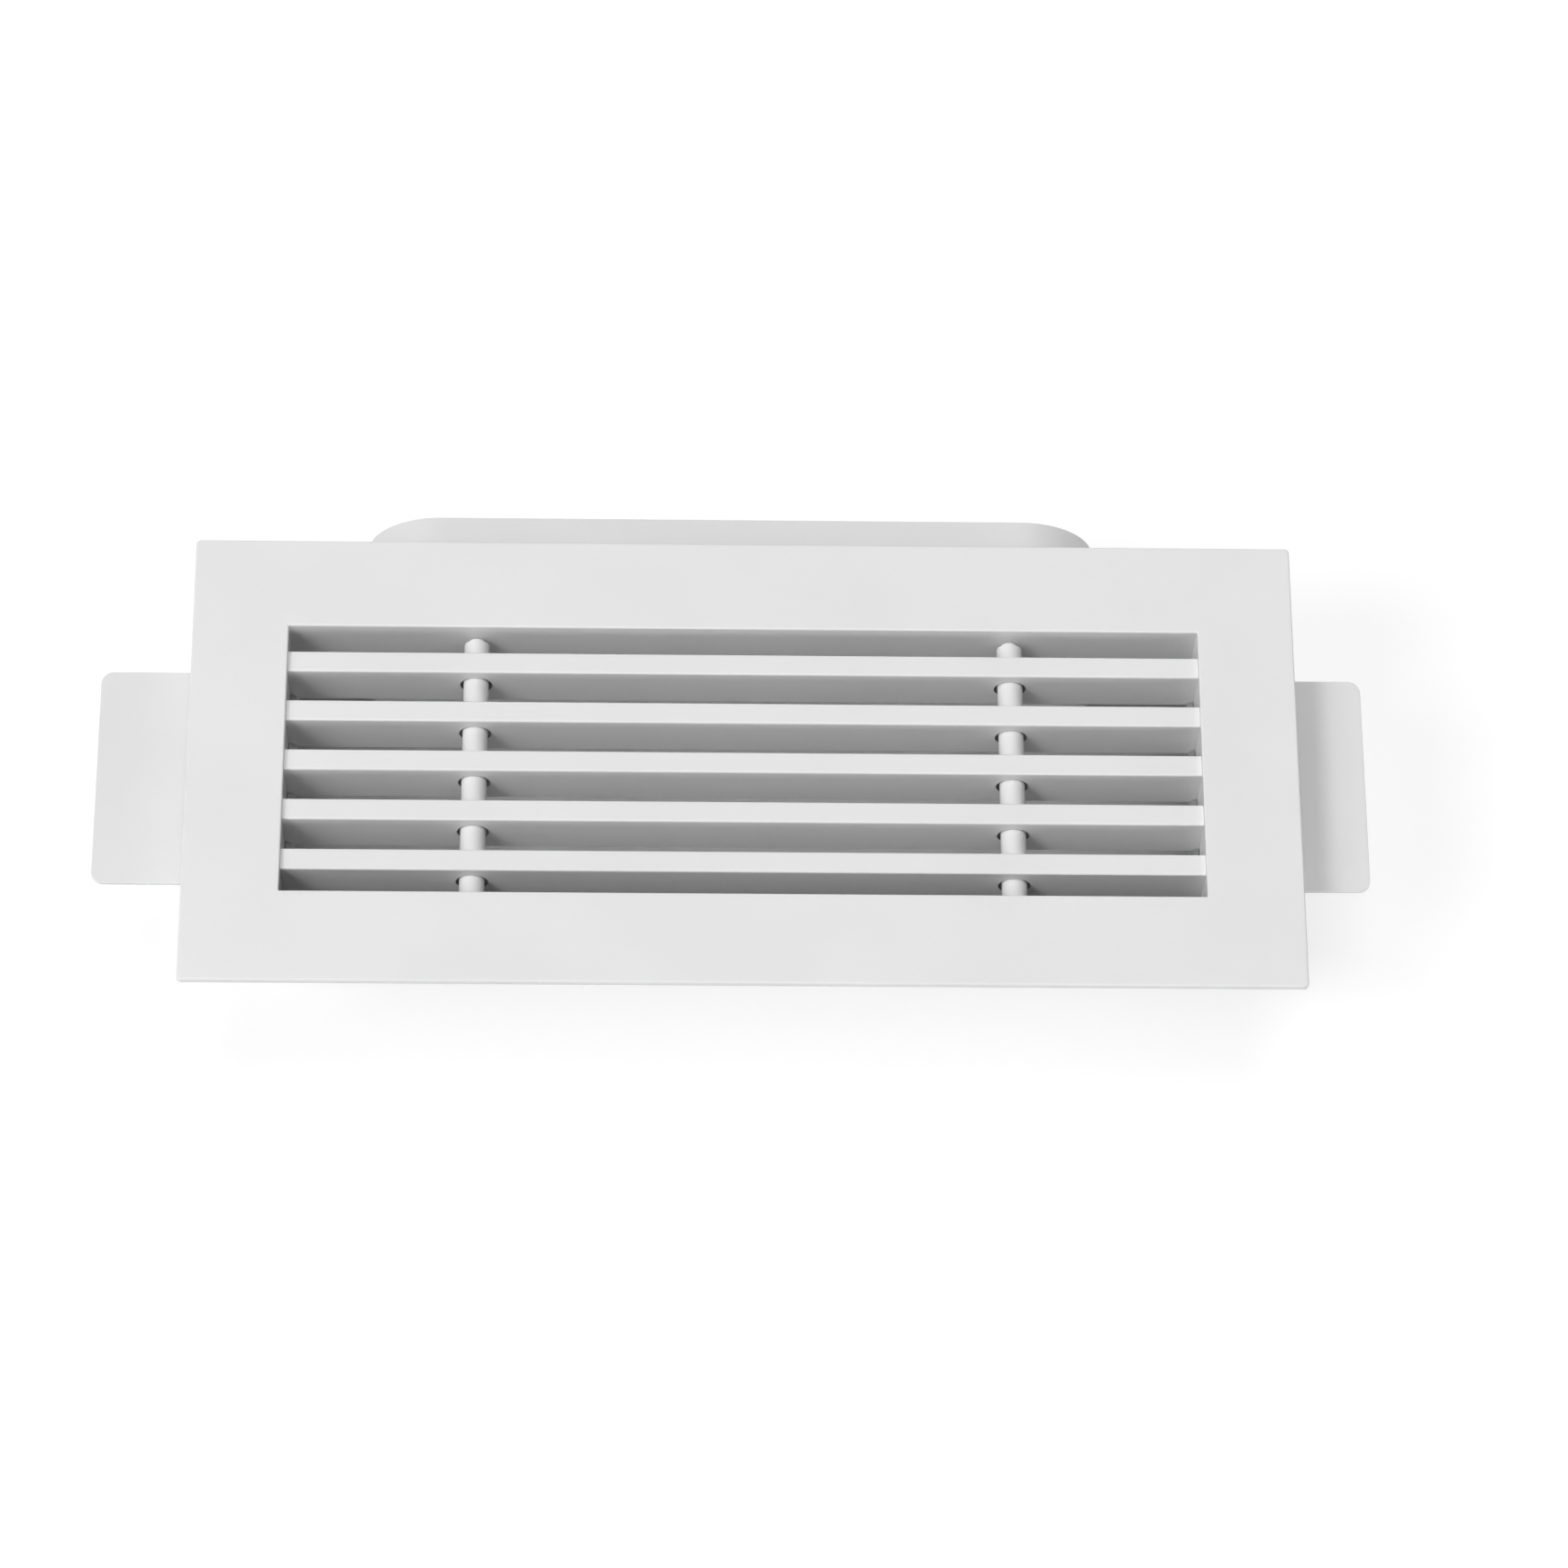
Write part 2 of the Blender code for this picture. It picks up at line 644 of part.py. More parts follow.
def bracket_rivets():
    """Side of the plenum and height of each rivet of the ear brackets."""
    return [(sign, y) for sign in (-1, 1) for y in side_by_side(2, EAR_RIVET_SPACING)]


def bracket_rivet_depth():
    return EAR_DEPTH + EAR_RIVET_DROP


def bracket_section():
    """Angle of the right bracket as (x, z) points: leg on the plenum, bend, ear."""
    inner = PLENUM_OUT_X + CLEAR
    tip = PLENUM_OUT_X + EAR_REACH
    end = -(EAR_DEPTH + EAR_LEG)
    bend = (inner + EAR_BEND_R, -EAR_DEPTH - EAR_BEND_R)
    points = [(inner, end)]
    points += arc(bend, EAR_BEND_R, 180, 90, ROUND_EDGE // 4)
    points += [(tip, -EAR_DEPTH), (tip, -EAR_DEPTH - EAR_T)]
    points += arc(bend, EAR_BEND_R - EAR_T, 90, 180, ROUND_EDGE // 4)
    points += [(inner + EAR_T, end)]
    return points


def make_brackets(plenum):
    half = EAR_H / 2
    for name, sign in (("ear_bracket_left", -1), ("ear_bracket_right", 1)):
        bm = bmesh.new()
        section = [(sign * x, z) for x, z in bracket_section()]
        prism(bm, section, -half, half, along_y)
        bracket = piece(name, bm, WHITE_SHEET, plenum)

        # The ear's two outer corners are rounded by keeping only what is inside this outline.
        tip = PLENUM_OUT_X + EAR_REACH
        outline = [(PLENUM_IN_X, -half)]
        outline += arc((tip - EAR_CORNER_R, -half + EAR_CORNER_R), EAR_CORNER_R, -90, 0, ROUND_EDGE // 2)
        outline += arc((tip - EAR_CORNER_R, half - EAR_CORNER_R), EAR_CORNER_R, 0, 90, ROUND_EDGE // 2)
        outline += [(PLENUM_IN_X, half)]
        keep = bmesh.new()
        prism(keep, [(sign * x, y) for x, y in outline], -PLENUM_BACK, 0, along_z)
        cut(bracket, keep, plenum, "INTERSECT")

        holes = bmesh.new()
        for y in side_by_side(2, EAR_HOLE_SPACING):
            at = (sign * (PLENUM_OUT_X + EAR_HOLE_IN), y, -EAR_DEPTH)
            cylinder(holes, at, (0, 0, 1), EAR_HOLE_D / 2, -EAR_T * 2, EAR_T * 2, ROUND_SCREW)
        for side, y in bracket_rivets():
            if side == sign:
                at = (sign * PLENUM_OUT_X, y, -bracket_rivet_depth())
                cylinder(holes, at, (1, 0, 0), RIVET_D / 2 + CLEAR, -EAR_T * 2, EAR_T * 2, ROUND_RIVET)
        cut(bracket, holes, plenum)

    grip = EAR_T + CLEAR + PLENUM_WALL
    for number, (sign, y) in enumerate(bracket_rivets(), 1):
        at = (sign * (PLENUM_OUT_X + CLEAR + EAR_T), y, -bracket_rivet_depth())
        rivet(f"bracket_rivet_{number}", at, (sign, 0, 0), grip, plenum)


def spigot_rivets():
    """Place along X and z of each rivet in the spigot's collar."""
    off = SPIGOT_T / 2 + SPIGOT_COLLAR / 2
    return [(x, sign * off - SPIGOT_DEPTH) for x in side_by_side(2, SPIGOT_RIVET_SPACING) for sign in (1, -1)]


def make_spigot(plenum):
    base = PLENUM_OUT_Y
    collar_top = base + CLEAR + SPIGOT_COLLAR_T
    profile = [
        (0, base + SPIGOT_LENGTH),
        (0, collar_top),
        (SPIGOT_COLLAR, collar_top),
        (SPIGOT_COLLAR, base + CLEAR),
        (0, base + CLEAR),
        (0, base - PLENUM_WALL - SPIGOT_ENTRY),
        (-SPIGOT_WALL, base - PLENUM_WALL - SPIGOT_ENTRY),
        (-SPIGOT_WALL, base + SPIGOT_LENGTH),
    ]
    bm = bmesh.new()
    oval_ring(bm, SPIGOT_W / 2, SPIGOT_T / 2, profile, -SPIGOT_DEPTH)
    spigot = piece("duct_spigot", bm, WHITE_SHEET, plenum)
    holes = bmesh.new()
    depth = SPIGOT_COLLAR_T * 2
    for x, z in spigot_rivets():
        cylinder(holes, (x, collar_top, z), (0, 1, 0), RIVET_D / 2 + CLEAR, -depth, depth, ROUND_RIVET)
    cut(spigot, holes, plenum)

    grip = SPIGOT_COLLAR_T + CLEAR + PLENUM_WALL
    for number, (x, z) in enumerate(spigot_rivets(), 1):
        rivet(f"spigot_rivet_{number}", (x, collar_top, z), (0, 1, 0), grip, plenum)

    # The seal is a band with two lips, stretched over the spigot.
    start = base + SEAL_START
    pitch = SEAL_LENGTH / SEAL_LIPS
    profile = [(CLEAR, start), (SEAL_T, start)]
    for k in range(SEAL_LIPS):
        crest = start + pitch / 2 + k * pitch
        profile += [(SEAL_T, crest - pitch / 4), (SEAL_LIP, crest), (SEAL_T, crest + pitch / 4)]
    profile += [(SEAL_T, start + SEAL_LENGTH), (CLEAR, start + SEAL_LENGTH)]
    bm = bmesh.new()
    oval_ring(bm, SPIGOT_W / 2, SPIGOT_T / 2, profile, -SPIGOT_DEPTH)
    piece("duct_seal", bm, RUBBER, plenum)


def build():
    clear_scene()
    grille = empty("grille_origin", (GRILLE_SHIFT, 0, FACE_Z))
    plenum = empty("plenum_origin", (0, 0, FACE_Z))
    make_frame(grille)
    make_bars(grille)
    make_rods(grille)
    make_combs(grille)
    make_comb_rivets(grille)
    make_clips(grille)
    make_gasket(grille)
    make_plenum(plenum)
    make_brackets(plenum)
    make_spigot(plenum)


build()
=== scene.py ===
# Looks of the linear bar grille and its duct box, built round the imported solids.
#
# Metres and degrees, in the frame of the solids: +X along the bars, +Y towards the duct
# spigot, +Z out of the face.

import math

import bmesh
import bpy
from mathutils import Matrix, Vector


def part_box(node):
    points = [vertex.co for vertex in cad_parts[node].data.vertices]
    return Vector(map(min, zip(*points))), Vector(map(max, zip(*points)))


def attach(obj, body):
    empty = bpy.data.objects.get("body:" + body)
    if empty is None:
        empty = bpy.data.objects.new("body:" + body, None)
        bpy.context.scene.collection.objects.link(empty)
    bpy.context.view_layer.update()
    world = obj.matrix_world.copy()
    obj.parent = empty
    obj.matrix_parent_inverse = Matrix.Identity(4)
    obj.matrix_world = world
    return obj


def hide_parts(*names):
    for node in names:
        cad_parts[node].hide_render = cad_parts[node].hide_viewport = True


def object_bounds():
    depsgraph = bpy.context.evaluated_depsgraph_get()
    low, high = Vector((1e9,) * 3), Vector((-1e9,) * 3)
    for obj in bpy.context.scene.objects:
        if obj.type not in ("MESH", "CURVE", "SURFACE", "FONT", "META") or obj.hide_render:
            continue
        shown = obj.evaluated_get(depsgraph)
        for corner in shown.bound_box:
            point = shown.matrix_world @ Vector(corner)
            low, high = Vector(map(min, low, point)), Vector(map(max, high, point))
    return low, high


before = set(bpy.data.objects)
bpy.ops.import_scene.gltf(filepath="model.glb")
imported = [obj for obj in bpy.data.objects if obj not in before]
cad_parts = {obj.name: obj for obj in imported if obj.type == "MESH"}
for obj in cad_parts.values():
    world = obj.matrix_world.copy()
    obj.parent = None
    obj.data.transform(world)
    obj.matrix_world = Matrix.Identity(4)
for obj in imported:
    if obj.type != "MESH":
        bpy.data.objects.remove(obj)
CAD_BOX = [list(corner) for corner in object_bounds()]

# Sizes of the grille.
BAR_COUNT = 5
BAR_FACE = 0.0071
BAR_PITCH = 0.0172
BAR_DEPTH = 0.0195
BAR_FRONT_R = 0.0006
BAR_BACK_R = 0.0003
BAR_END_PLAY = 0.00003
OPENING_W = 0.289
OPENING_H = 0.0921
FLANGE_BORDER = 0.0305
FLANGE_T = 0.0016
FLANGE_RIM_W = 0.0014
FLANGE_RIM_DEPTH = 0.0024
FLANGE_EDGE_R = 0.0006
FLANGE_CORNER_R = 0.0015
FRAME_LIP_R = 0.0002
NECK_WELD_R = 0.0005
OPENING_CORNER_R = 0.0003
NECK_WALL = 0.0015
NECK_DEPTH = 0.032
ROD_D = 0.008
ROD_SPACING = 0.170
ROD_HOLE_D = 0.0102
ROD_HOLE_IN = 0.009
ROD_TENON_D = 0.005
ROD_TENON_L = 0.0012
ROD_EDGE = 0.0003
SCREW_D = 0.003
SCREW_HEAD_D = 0.006
SCREW_HEAD_H = 0.0016
SCREW_DOME = 78
SCREW_PITCH = 0.0007
SCREW_RUNOUT = 0.0006
COMB_BITE = 0.003
COMB_LEAD = 0.0018
COMB_EDGE_R = 0.00025
CLIP_T = 0.0005
CLIP_INSET = 0.0025
CLIP_FOOT = 0.0055
CLIP_RISE = 0.003
CLIP_TIP_DROP = 0.0011
CLIP_CREST_SHARE = 0.6
CLIP_RISE_STEPS = 16
CLIP_FALL_STEPS = 10
CLIP_HOLE_R = 0.0015
CLIP_EDGE_R = 0.00008
GASKET_W = 0.012
GASKET_EDGE_R = 0.0004
GASKET_BULGE = 0.00015
GASKET_CORNER_R = 0.0012

# Rivets: head across and high, shank across, tail across and high.
LARGE_RIVET = (0.0058, 0.0010, 0.0032, 0.0046, 0.0012)
SMALL_RIVET = (0.0044, 0.0007, 0.0024, 0.0036, 0.0009)
# The dome's curve and the part of it round the pin, both in radians.
RIVET_DOME = 1.25
RIVET_DOME_TURN = 0.95
RIVET_DOME_STEPS = 8

# Sizes of the duct box.
EAR_DEPTH = 0.016
EAR_T = 0.0012
EAR_CORNER_R = 0.004
EAR_BEND_R = 0.0016
EAR_EDGE_R = 0.0003
EAR_HOLE_D = 0.005
EAR_HOLE_IN = 0.009
EAR_HOLE_SPACING = 0.044
PLENUM_WALL = 0.0012
PLENUM_SLOPE_Y = 0.036
PLENUM_SLOPE_Z = 0.035
PLENUM_FOLD_R = 0.0015
PLENUM_INNER_FOLD_R = 0.0006
SPIGOT_W = 0.239
SPIGOT_T = 0.050
SPIGOT_WALL = 0.001
SPIGOT_BEND_R = 0.0008
SPIGOT_COLLAR = 0.007
SPIGOT_COLLAR_T = 0.0012
SPIGOT_COLLAR_R = 0.0003
SEAL_START = 0.012
SEAL_LENGTH = 0.013
SEAL_T = 0.0012
SEAL_LIP = 0.0022
SEAL_LIPS = 2
SEAL_EDGE = 0.0003

# The gap between neighbours, how near counts as on a plane, and how far cutters reach.
PIECE_GAP = 0.0003
ON_PLANE = 0.000001
CUT_REACH = 0.003
CUT_FAR = 0.01

# Places, read from the solids.
frame_low, frame_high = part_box("frame")
FACE_Z = frame_high.z
GRILLE_X = (frame_low.x + frame_high.x) / 2
plenum_low, plenum_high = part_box("plenum_box")
PLENUM_OUT_X = plenum_high.x
PLENUM_OUT_Y = plenum_high.y
SPIGOT_Z = (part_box("duct_spigot")[0].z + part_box("duct_spigot")[1].z) / 2
BAR_FRONT_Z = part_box("bar_1")[1].z
BAR_Z = BAR_FRONT_Z - BAR_DEPTH / 2


# Materials


class Coat:
    """Builds one procedural material on Object coordinates."""

    def __init__(self, name, colour, roughness, metallic=0.0):
        self.material = bpy.data.materials.new(name)
        self.material.use_nodes = True
        self.tree = self.material.node_tree
        self.shader = self.tree.nodes["Principled BSDF"]
        self.shader.inputs["Metallic"].default_value = metallic
        self.shader.inputs["Base Color"].default_value = (*colour, 1)
        self.shader.inputs["Roughness"].default_value = roughness
        self.place = self.tree.nodes.new("ShaderNodeTexCoord").outputs["Object"]
        self.height = None

    def stretched(self, scale):
        """Object coordinates scaled per axis, for grain that runs one way."""
        mapping = self.tree.nodes.new("ShaderNodeMapping")
        mapping.inputs["Scale"].default_value = scale
        self.tree.links.new(self.place, mapping.inputs["Vector"])
        return mapping.outputs["Vector"]

    def noise(self, scale, detail=3.0, roughness=0.5, place=None):
        node = self.tree.nodes.new("ShaderNodeTexNoise")
        node.inputs["Scale"].default_value = scale
        node.inputs["Detail"].default_value = detail
        node.inputs["Roughness"].default_value = roughness
        self.tree.links.new(place or self.place, node.inputs["Vector"])
        return node.outputs["Fac"]

    def spread(self, value, low, high, out_low, out_high):
        """Maps a value's range to another, held at both ends."""
        node = self.tree.nodes.new("ShaderNodeMapRange")
        node.interpolation_type = "SMOOTHSTEP"
        limits = {"From Min": low, "From Max": high, "To Min": out_low, "To Max": out_high}
        for socket, number in limits.items():
            node.inputs[socket].default_value = number
        self.tree.links.new(value, node.inputs["Value"])
        return node.outputs["Result"]

    def sums(self, operation, first, second):
        node = self.tree.nodes.new("ShaderNodeMath")
        node.operation = operation
        for socket, value in zip(node.inputs, (first, second)):
            if isinstance(value, (int, float)):
                socket.default_value = value
            else:
                self.tree.links.new(value, socket)
        return node.outputs[0]

    def blend(self, factor, first, second):
        node = self.tree.nodes.new("ShaderNodeMix")
        node.data_type = "RGBA"
        sockets = {s.identifier: s for s in node.inputs}
        self.tree.links.new(factor, sockets["Factor_Float"])
        for socket, value in ((sockets["A_Color"], first), (sockets["B_Color"], second)):
            if isinstance(value, tuple):
                socket.default_value = (*value, 1)
            else:
                self.tree.links.new(value, socket)
        outputs = {s.identifier: s for s in node.outputs}
        return outputs["Result_Color"]

    def along(self, axis):
        """One Object coordinate."""
        node = self.tree.nodes.new("ShaderNodeSeparateXYZ")
        self.tree.links.new(self.place, node.inputs[0])
        return node.outputs[axis]

    def bump(self, height, distance, strength=1.0):
        node = self.tree.nodes.new("ShaderNodeBump")
        node.inputs["Strength"].default_value = strength
        node.inputs["Distance"].default_value = distance
        self.tree.links.new(height, node.inputs["Height"])
        if self.height is not None:
            self.tree.links.new(self.height, node.inputs["Normal"])
        self.height = node.outputs["Normal"]

    def done(self, colour=None, roughness=None):
        if colour is not None:
            self.tree.links.new(colour, self.shader.inputs["Base Color"])
        if roughness is not None:
            self.tree.links.new(roughness, self.shader.inputs["Roughness"])
        if self.height is not None:
            self.tree.links.new(self.height, self.shader.inputs["Normal"])
        return self.material


def shade(colour, share):
    return tuple(share * part for part in colour)


def powder_coat(name, colour):
    """Satin powder coat: orange peel and faint clouds."""
    coat = Coat(name, colour, 0.42)
    clouds = coat.spread(coat.noise(22, 4), 0.35, 0.65, 0, 1)
    tone = coat.blend(clouds, colour, shade(colour, 0.975))
    specks = coat.spread(coat.noise(2600, 2), 0.66, 0.72, 0, 1)
    tone = coat.blend(specks, tone, shade(colour, 0.94))
    coat.bump(coat.noise(700, 2), 0.00003, 0.5)
    coat.bump(coat.noise(3200, 1), 0.000006, 0.5)
    rough = coat.spread(coat.noise(90, 3), 0.3, 0.7, 0.38, 0.47)
    coat.shader.inputs["Specular IOR Level"].default_value = 0.45
    return coat.done(tone, rough)


def sheet_paint(name, colour):
    """Thin satin paint on sheet steel, with the sheet's faint waviness and a few rub marks."""
    coat = Coat(name, colour, 0.5)
    clouds = coat.spread(coat.noise(14, 4), 0.35, 0.68, 0, 1)
    tone = coat.blend(clouds, colour, shade(colour, 0.965))
    rubs = coat.noise(60, 4, 0.6, coat.stretched((0.25, 3, 3)))
    marks = coat.spread(rubs, 0.68, 0.78, 0, 0.5)
    tone = coat.blend(marks, tone, shade(colour, 0.93))
    coat.bump(coat.noise(9, 2), 0.0006, 0.25)
    coat.bump(coat.noise(900, 3), 0.00002, 0.5)
    rough = coat.sums("SUBTRACT", coat.spread(coat.noise(120, 3), 0.3, 0.7, 0.46, 0.56), marks)
    rough = coat.sums("MAXIMUM", rough, 0.36)
    return coat.done(tone, rough)


def drawn_metal(name, colour, roughness, grain, stretch, dull):
    """Bare metal with grain along one axis and dull patches."""
    coat = Coat(name, colour, roughness, 1.0)
    lines = coat.noise(grain, 3, 0.6, coat.stretched(stretch))
    patches = coat.spread(coat.noise(70, 4), 0.4, 0.7, 0, 1)
    tone = coat.blend(patches, colour, dull)
    tone = coat.blend(coat.spread(lines, 0.35, 0.7, 0, 0.6), tone, shade(colour, 0.86))
    coat.bump(lines, 0.00002, 0.5)
    rough = coat.spread(coat.noise(160, 3), 0.3, 0.7, roughness - 0.06, roughness + 0.10)
    return coat.done(tone, rough)


def zinc_plate(name, colour):
    """Bright zinc with the fine spangle of plating."""
    coat = Coat(name, colour, 0.32, 1.0)
    cells = coat.tree.nodes.new("ShaderNodeTexVoronoi")
    cells.inputs["Scale"].default_value = 900
    coat.tree.links.new(coat.place, cells.inputs["Vector"])
    tone = coat.blend(coat.spread(cells.outputs["Distance"], 0.1, 0.7, 0, 1), colour, (0.66, 0.67, 0.66))
    coat.bump(coat.noise(1800, 2), 0.00001, 0.5)
    rough = coat.spread(coat.noise(400, 3), 0.3, 0.7, 0.26, 0.42)
    return coat.done(tone, rough)


def rubber(name, colour, roughness, ribs):
    """Matt rubber: fine grain, dust in patches, and faint lines from the extruder."""
    coat = Coat(name, colour, roughness)
    dust = coat.spread(coat.noise(55, 5, 0.65), 0.48, 0.75, 0, 0.35)
    tone = coat.blend(dust, colour, tuple(part + 0.05 for part in colour))
    coat.bump(coat.noise(1500, 3), 0.00004, 0.6)
    coat.bump(coat.noise(ribs, 2, 0.5, coat.stretched((0.02, 0.02, 1))), 0.00002, 0.5)
    rough = coat.spread(coat.noise(200, 3), 0.3, 0.7, roughness - 0.08, roughness + 0.06)
    coat.shader.inputs["Specular IOR Level"].default_value = 0.35
    return coat.done(tone, rough)


WHITE = (0.80, 0.80, 0.80)
FRAME_PAINT = powder_coat("frame_powder_coat", WHITE)
BAR_PAINT = powder_coat("bar_powder_coat", WHITE)
ROD_PAINT = powder_coat("rod_powder_coat", WHITE)
SHEET_PAINT = sheet_paint("sheet_satin_paint", (0.77, 0.77, 0.77))
# The primer inside the box, and the grey painted as shade on the lower neck wall, are as matt as rubber,
# and the brush leaves lines like those of an extruder.
# Grey painted onto the lower neck wall as painted shade, to darken the lowest gap.
NECK_PAINTED_SHADE = rubber("neck_grey_primer", (0.42, 0.42, 0.42), 0.8, 300)
BOX_PRIMER = rubber("box_grey_primer", (0.60, 0.60, 0.60), 0.8, 300)
# Bare metal for the walls of the rod holes, also darker to paint shade into the clearance round the
# rods.
BORE_METAL_AND_SHADE = drawn_metal(
    "bored_aluminium", (0.56, 0.56, 0.57), 0.50,
    grain=1600, stretch=(1, 0.2, 1), dull=(0.46, 0.46, 0.47),
)
COMB_METAL = drawn_metal(
    "mill_aluminium", (0.60, 0.61, 0.62), 0.40,
    grain=900, stretch=(1, 0.04, 1), dull=(0.50, 0.51, 0.52),
)
RIVET_METAL = drawn_metal(
    "rivet_aluminium", (0.62, 0.63, 0.64), 0.36,
    grain=1400, stretch=(1, 1, 1), dull=(0.54, 0.55, 0.56),
)
SPRING_STEEL = drawn_metal(
    "blued_spring_steel", (0.42, 0.43, 0.45), 0.28,
    grain=1200, stretch=(0.05, 1, 1), dull=(0.34, 0.34, 0.36),
)
ZINC = zinc_plate("zinc_plate", (0.55, 0.56, 0.57))
GASKET_RUBBER = rubber("gasket_rubber", (0.060, 0.060, 0.065), 0.85, 260)
SEAL_RUBBER = rubber("seal_rubber", (0.018, 0.018, 0.020), 0.65, 400)


# Meshes


def arc(centre, radius, start, stop, steps):
    """Points of an arc in a plane. Angles are in degrees."""
    points = []
    for k in range(steps + 1):
        angle = math.radians(start + (stop - start) * k / steps)
        points.append((centre[0] + radius * math.cos(angle), centre[1] + radius * math.sin(angle)))
    return points


def loft(bm, loops, closed):
    """Join loops of equal length with faces. Closed also joins the last to the first."""
    rings = [[bm.verts.new(point) for point in loop] for loop in loops]
    for k in range(len(rings) if closed else len(rings) - 1):
        ring, following = rings[k], rings[(k + 1) % len(rings)]
        for i in range(len(ring)):
            j = (i + 1) % len(ring)
            bm.faces.new((ring[i], ring[j], following[j], following[i]))
    return rings


def prism(bm, outline, low, high, place):
    """Extrude a closed outline. place(a, b, along) gives the point in space."""
    rings = loft(bm, [[place(a, b, along) for a, b in outline] for along in (low, high)], False)
    bm.faces.new(rings[0])
    bm.faces.new(rings[1])


def along_x(a, b, along):
    return (along, a, b)


def along_y(a, b, along):
    return (a, along, b)


def along_z(a, b, along):
    return (a, b, along)


def lathe(bm, profile, at, axis, sides):
    """Turn a profile of (radius, distance along the axis) that starts and ends at radius 0."""
    turn = Vector((0, 0, 1)).rotation_difference(Vector(axis)).to_matrix().to_4x4()
    place = Matrix.Translation(at) @ turn
    first = bm.verts.new(place @ Vector((0, 0, profile[0][1])))
    last = bm.verts.new(place @ Vector((0, 0, profile[-1][1])))
    rings = []
    for radius, along in profile[1:-1]:
        ring = []
        for k in range(sides):
            angle = math.pi * (2 * k + 1) / sides
            point = Vector((radius * math.cos(angle), radius * math.sin(angle), along))
            ring.append(bm.verts.new(place @ point))
        rings.append(ring)
    for k in range(sides):
        j = (k + 1) % sides
        bm.faces.new((first, rings[0][k], rings[0][j]))
        bm.faces.new((last, rings[-1][j], rings[-1][k]))
        for ring, following in zip(rings, rings[1:]):
            bm.faces.new((ring[k], ring[j], following[j], following[k]))


def cylinder(bm, at, axis, radius, low, high, sides=48):
    lathe(bm, [(0, low), (radius, low), (radius, high), (0, high)], at, axis, sides)


def loose(name, bm):
    """Turn a bmesh into an object."""
    bmesh.ops.recalc_face_normals(bm, faces=bm.faces)
    mesh = bpy.data.meshes.new(name)
    bm.to_mesh(mesh)
    bm.free()
    made = bpy.data.objects.new(name, mesh)
    bpy.context.scene.collection.objects.link(made)
    return made


def bake(made):
    """Turn an object's modifiers into its plain mesh."""
    bpy.context.view_layer.update()
    shaped = made.evaluated_get(bpy.context.evaluated_depsgraph_get())
    mesh = bpy.data.meshes.new_from_object(shaped)
    made.modifiers.clear()
    made.data = mesh
    mesh.name = made.name


def cut(target, bm, operation="DIFFERENCE"):
    """Cut separate closed cutters out of an object, or keep what lies within them."""
    cutter = loose("cutter", bm)
    boolean = target.modifiers.new("cut", "BOOLEAN")
    boolean.operation = operation
    boolean.solver = "EXACT"
    boolean.object = cutter
    bake(target)
    bpy.data.objects.remove(cutter, do_unlink=True)


def soften(made, width, segments=2, angle=40):
    """Round an object's sharp edges."""
    bevel = made.modifiers.new("soften", "BEVEL")
    bevel.width = width
    bevel.segments = segments
    bevel.limit_method = "ANGLE"
    bevel.angle_limit = math.radians(angle)
    bevel.use_clamp_overlap = True
    bake(made)


def finish_piece(made, coat, slot, *nodes, sharp=32):
    """Shade an object and make it stand for its solids."""
    mesh = made.data
    mesh.shade_smooth()
    mesh.set_sharp_from_angle(angle=math.radians(sharp))
    flat = made.modifiers.new("even", "WEIGHTED_NORMAL")
    flat.keep_sharp = True
    flat.weight = 100
    bake(made)
    made.data.materials.clear()
    made.data.materials.append(coat)
    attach(made, "root")
    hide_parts(*nodes)
    return made


def paint_faces(made, paint, chosen):
    """Give a second paint to the faces for which chosen(face) is true."""
    made.data.materials.append(paint)
    for face in made.data.polygons:
        if chosen(face):
            face.material_index = 1


def rectangle_ring(bm, half_x, half_y, profile, place, inner_r, outer_r, steps=8):
    """Carry a profile of (outward offset, z) round a rectangle with rounded corners."""
    widest = max(out for out, z in profile)
    loops = []
    for quarter, (sign_x, sign_y) in enumerate(((-1, -1), (1, -1), (1, 1), (-1, 1))):
        for k in range(steps + 1):
            angle = math.radians(180 + 90 * quarter + 90 * k / steps)
            loop = []
            for out, z in profile:
                radius = inner_r + (outer_r - inner_r) * out / widest
                x = sign_x * (half_x + out - radius) + radius * math.cos(angle)
                y = sign_y * (half_y + out - radius) + radius * math.sin(angle)
                loop.append((place.x + x, place.y + y, place.z + z))
            loops.append(loop)
    loft(bm, loops, True)


def oval_turns(steps=48):
    """Turns of a flat oval as (side of its middle, across, along) in order round it."""
    turns = []
    for sign, start in ((1, -90), (-1, 90)):
        for k in range(steps + 1):
            angle = math.radians(start + 180 * k / steps)
            turns.append((sign, math.cos(angle), math.sin(angle)))
    return turns


def oval_ring(bm, half_x, half_z, profile):
    """Carry a profile of (outward offset, y) round the flat oval of the spigot."""
    loops = []
    for sign, across, along in oval_turns():
        x = sign * (half_x - half_z) + half_z * across
        z = SPIGOT_Z + half_z * along
        loops.append([(x + out * across, y, z + out * along) for out, y in profile])
    loft(bm, loops, True)


# Frame


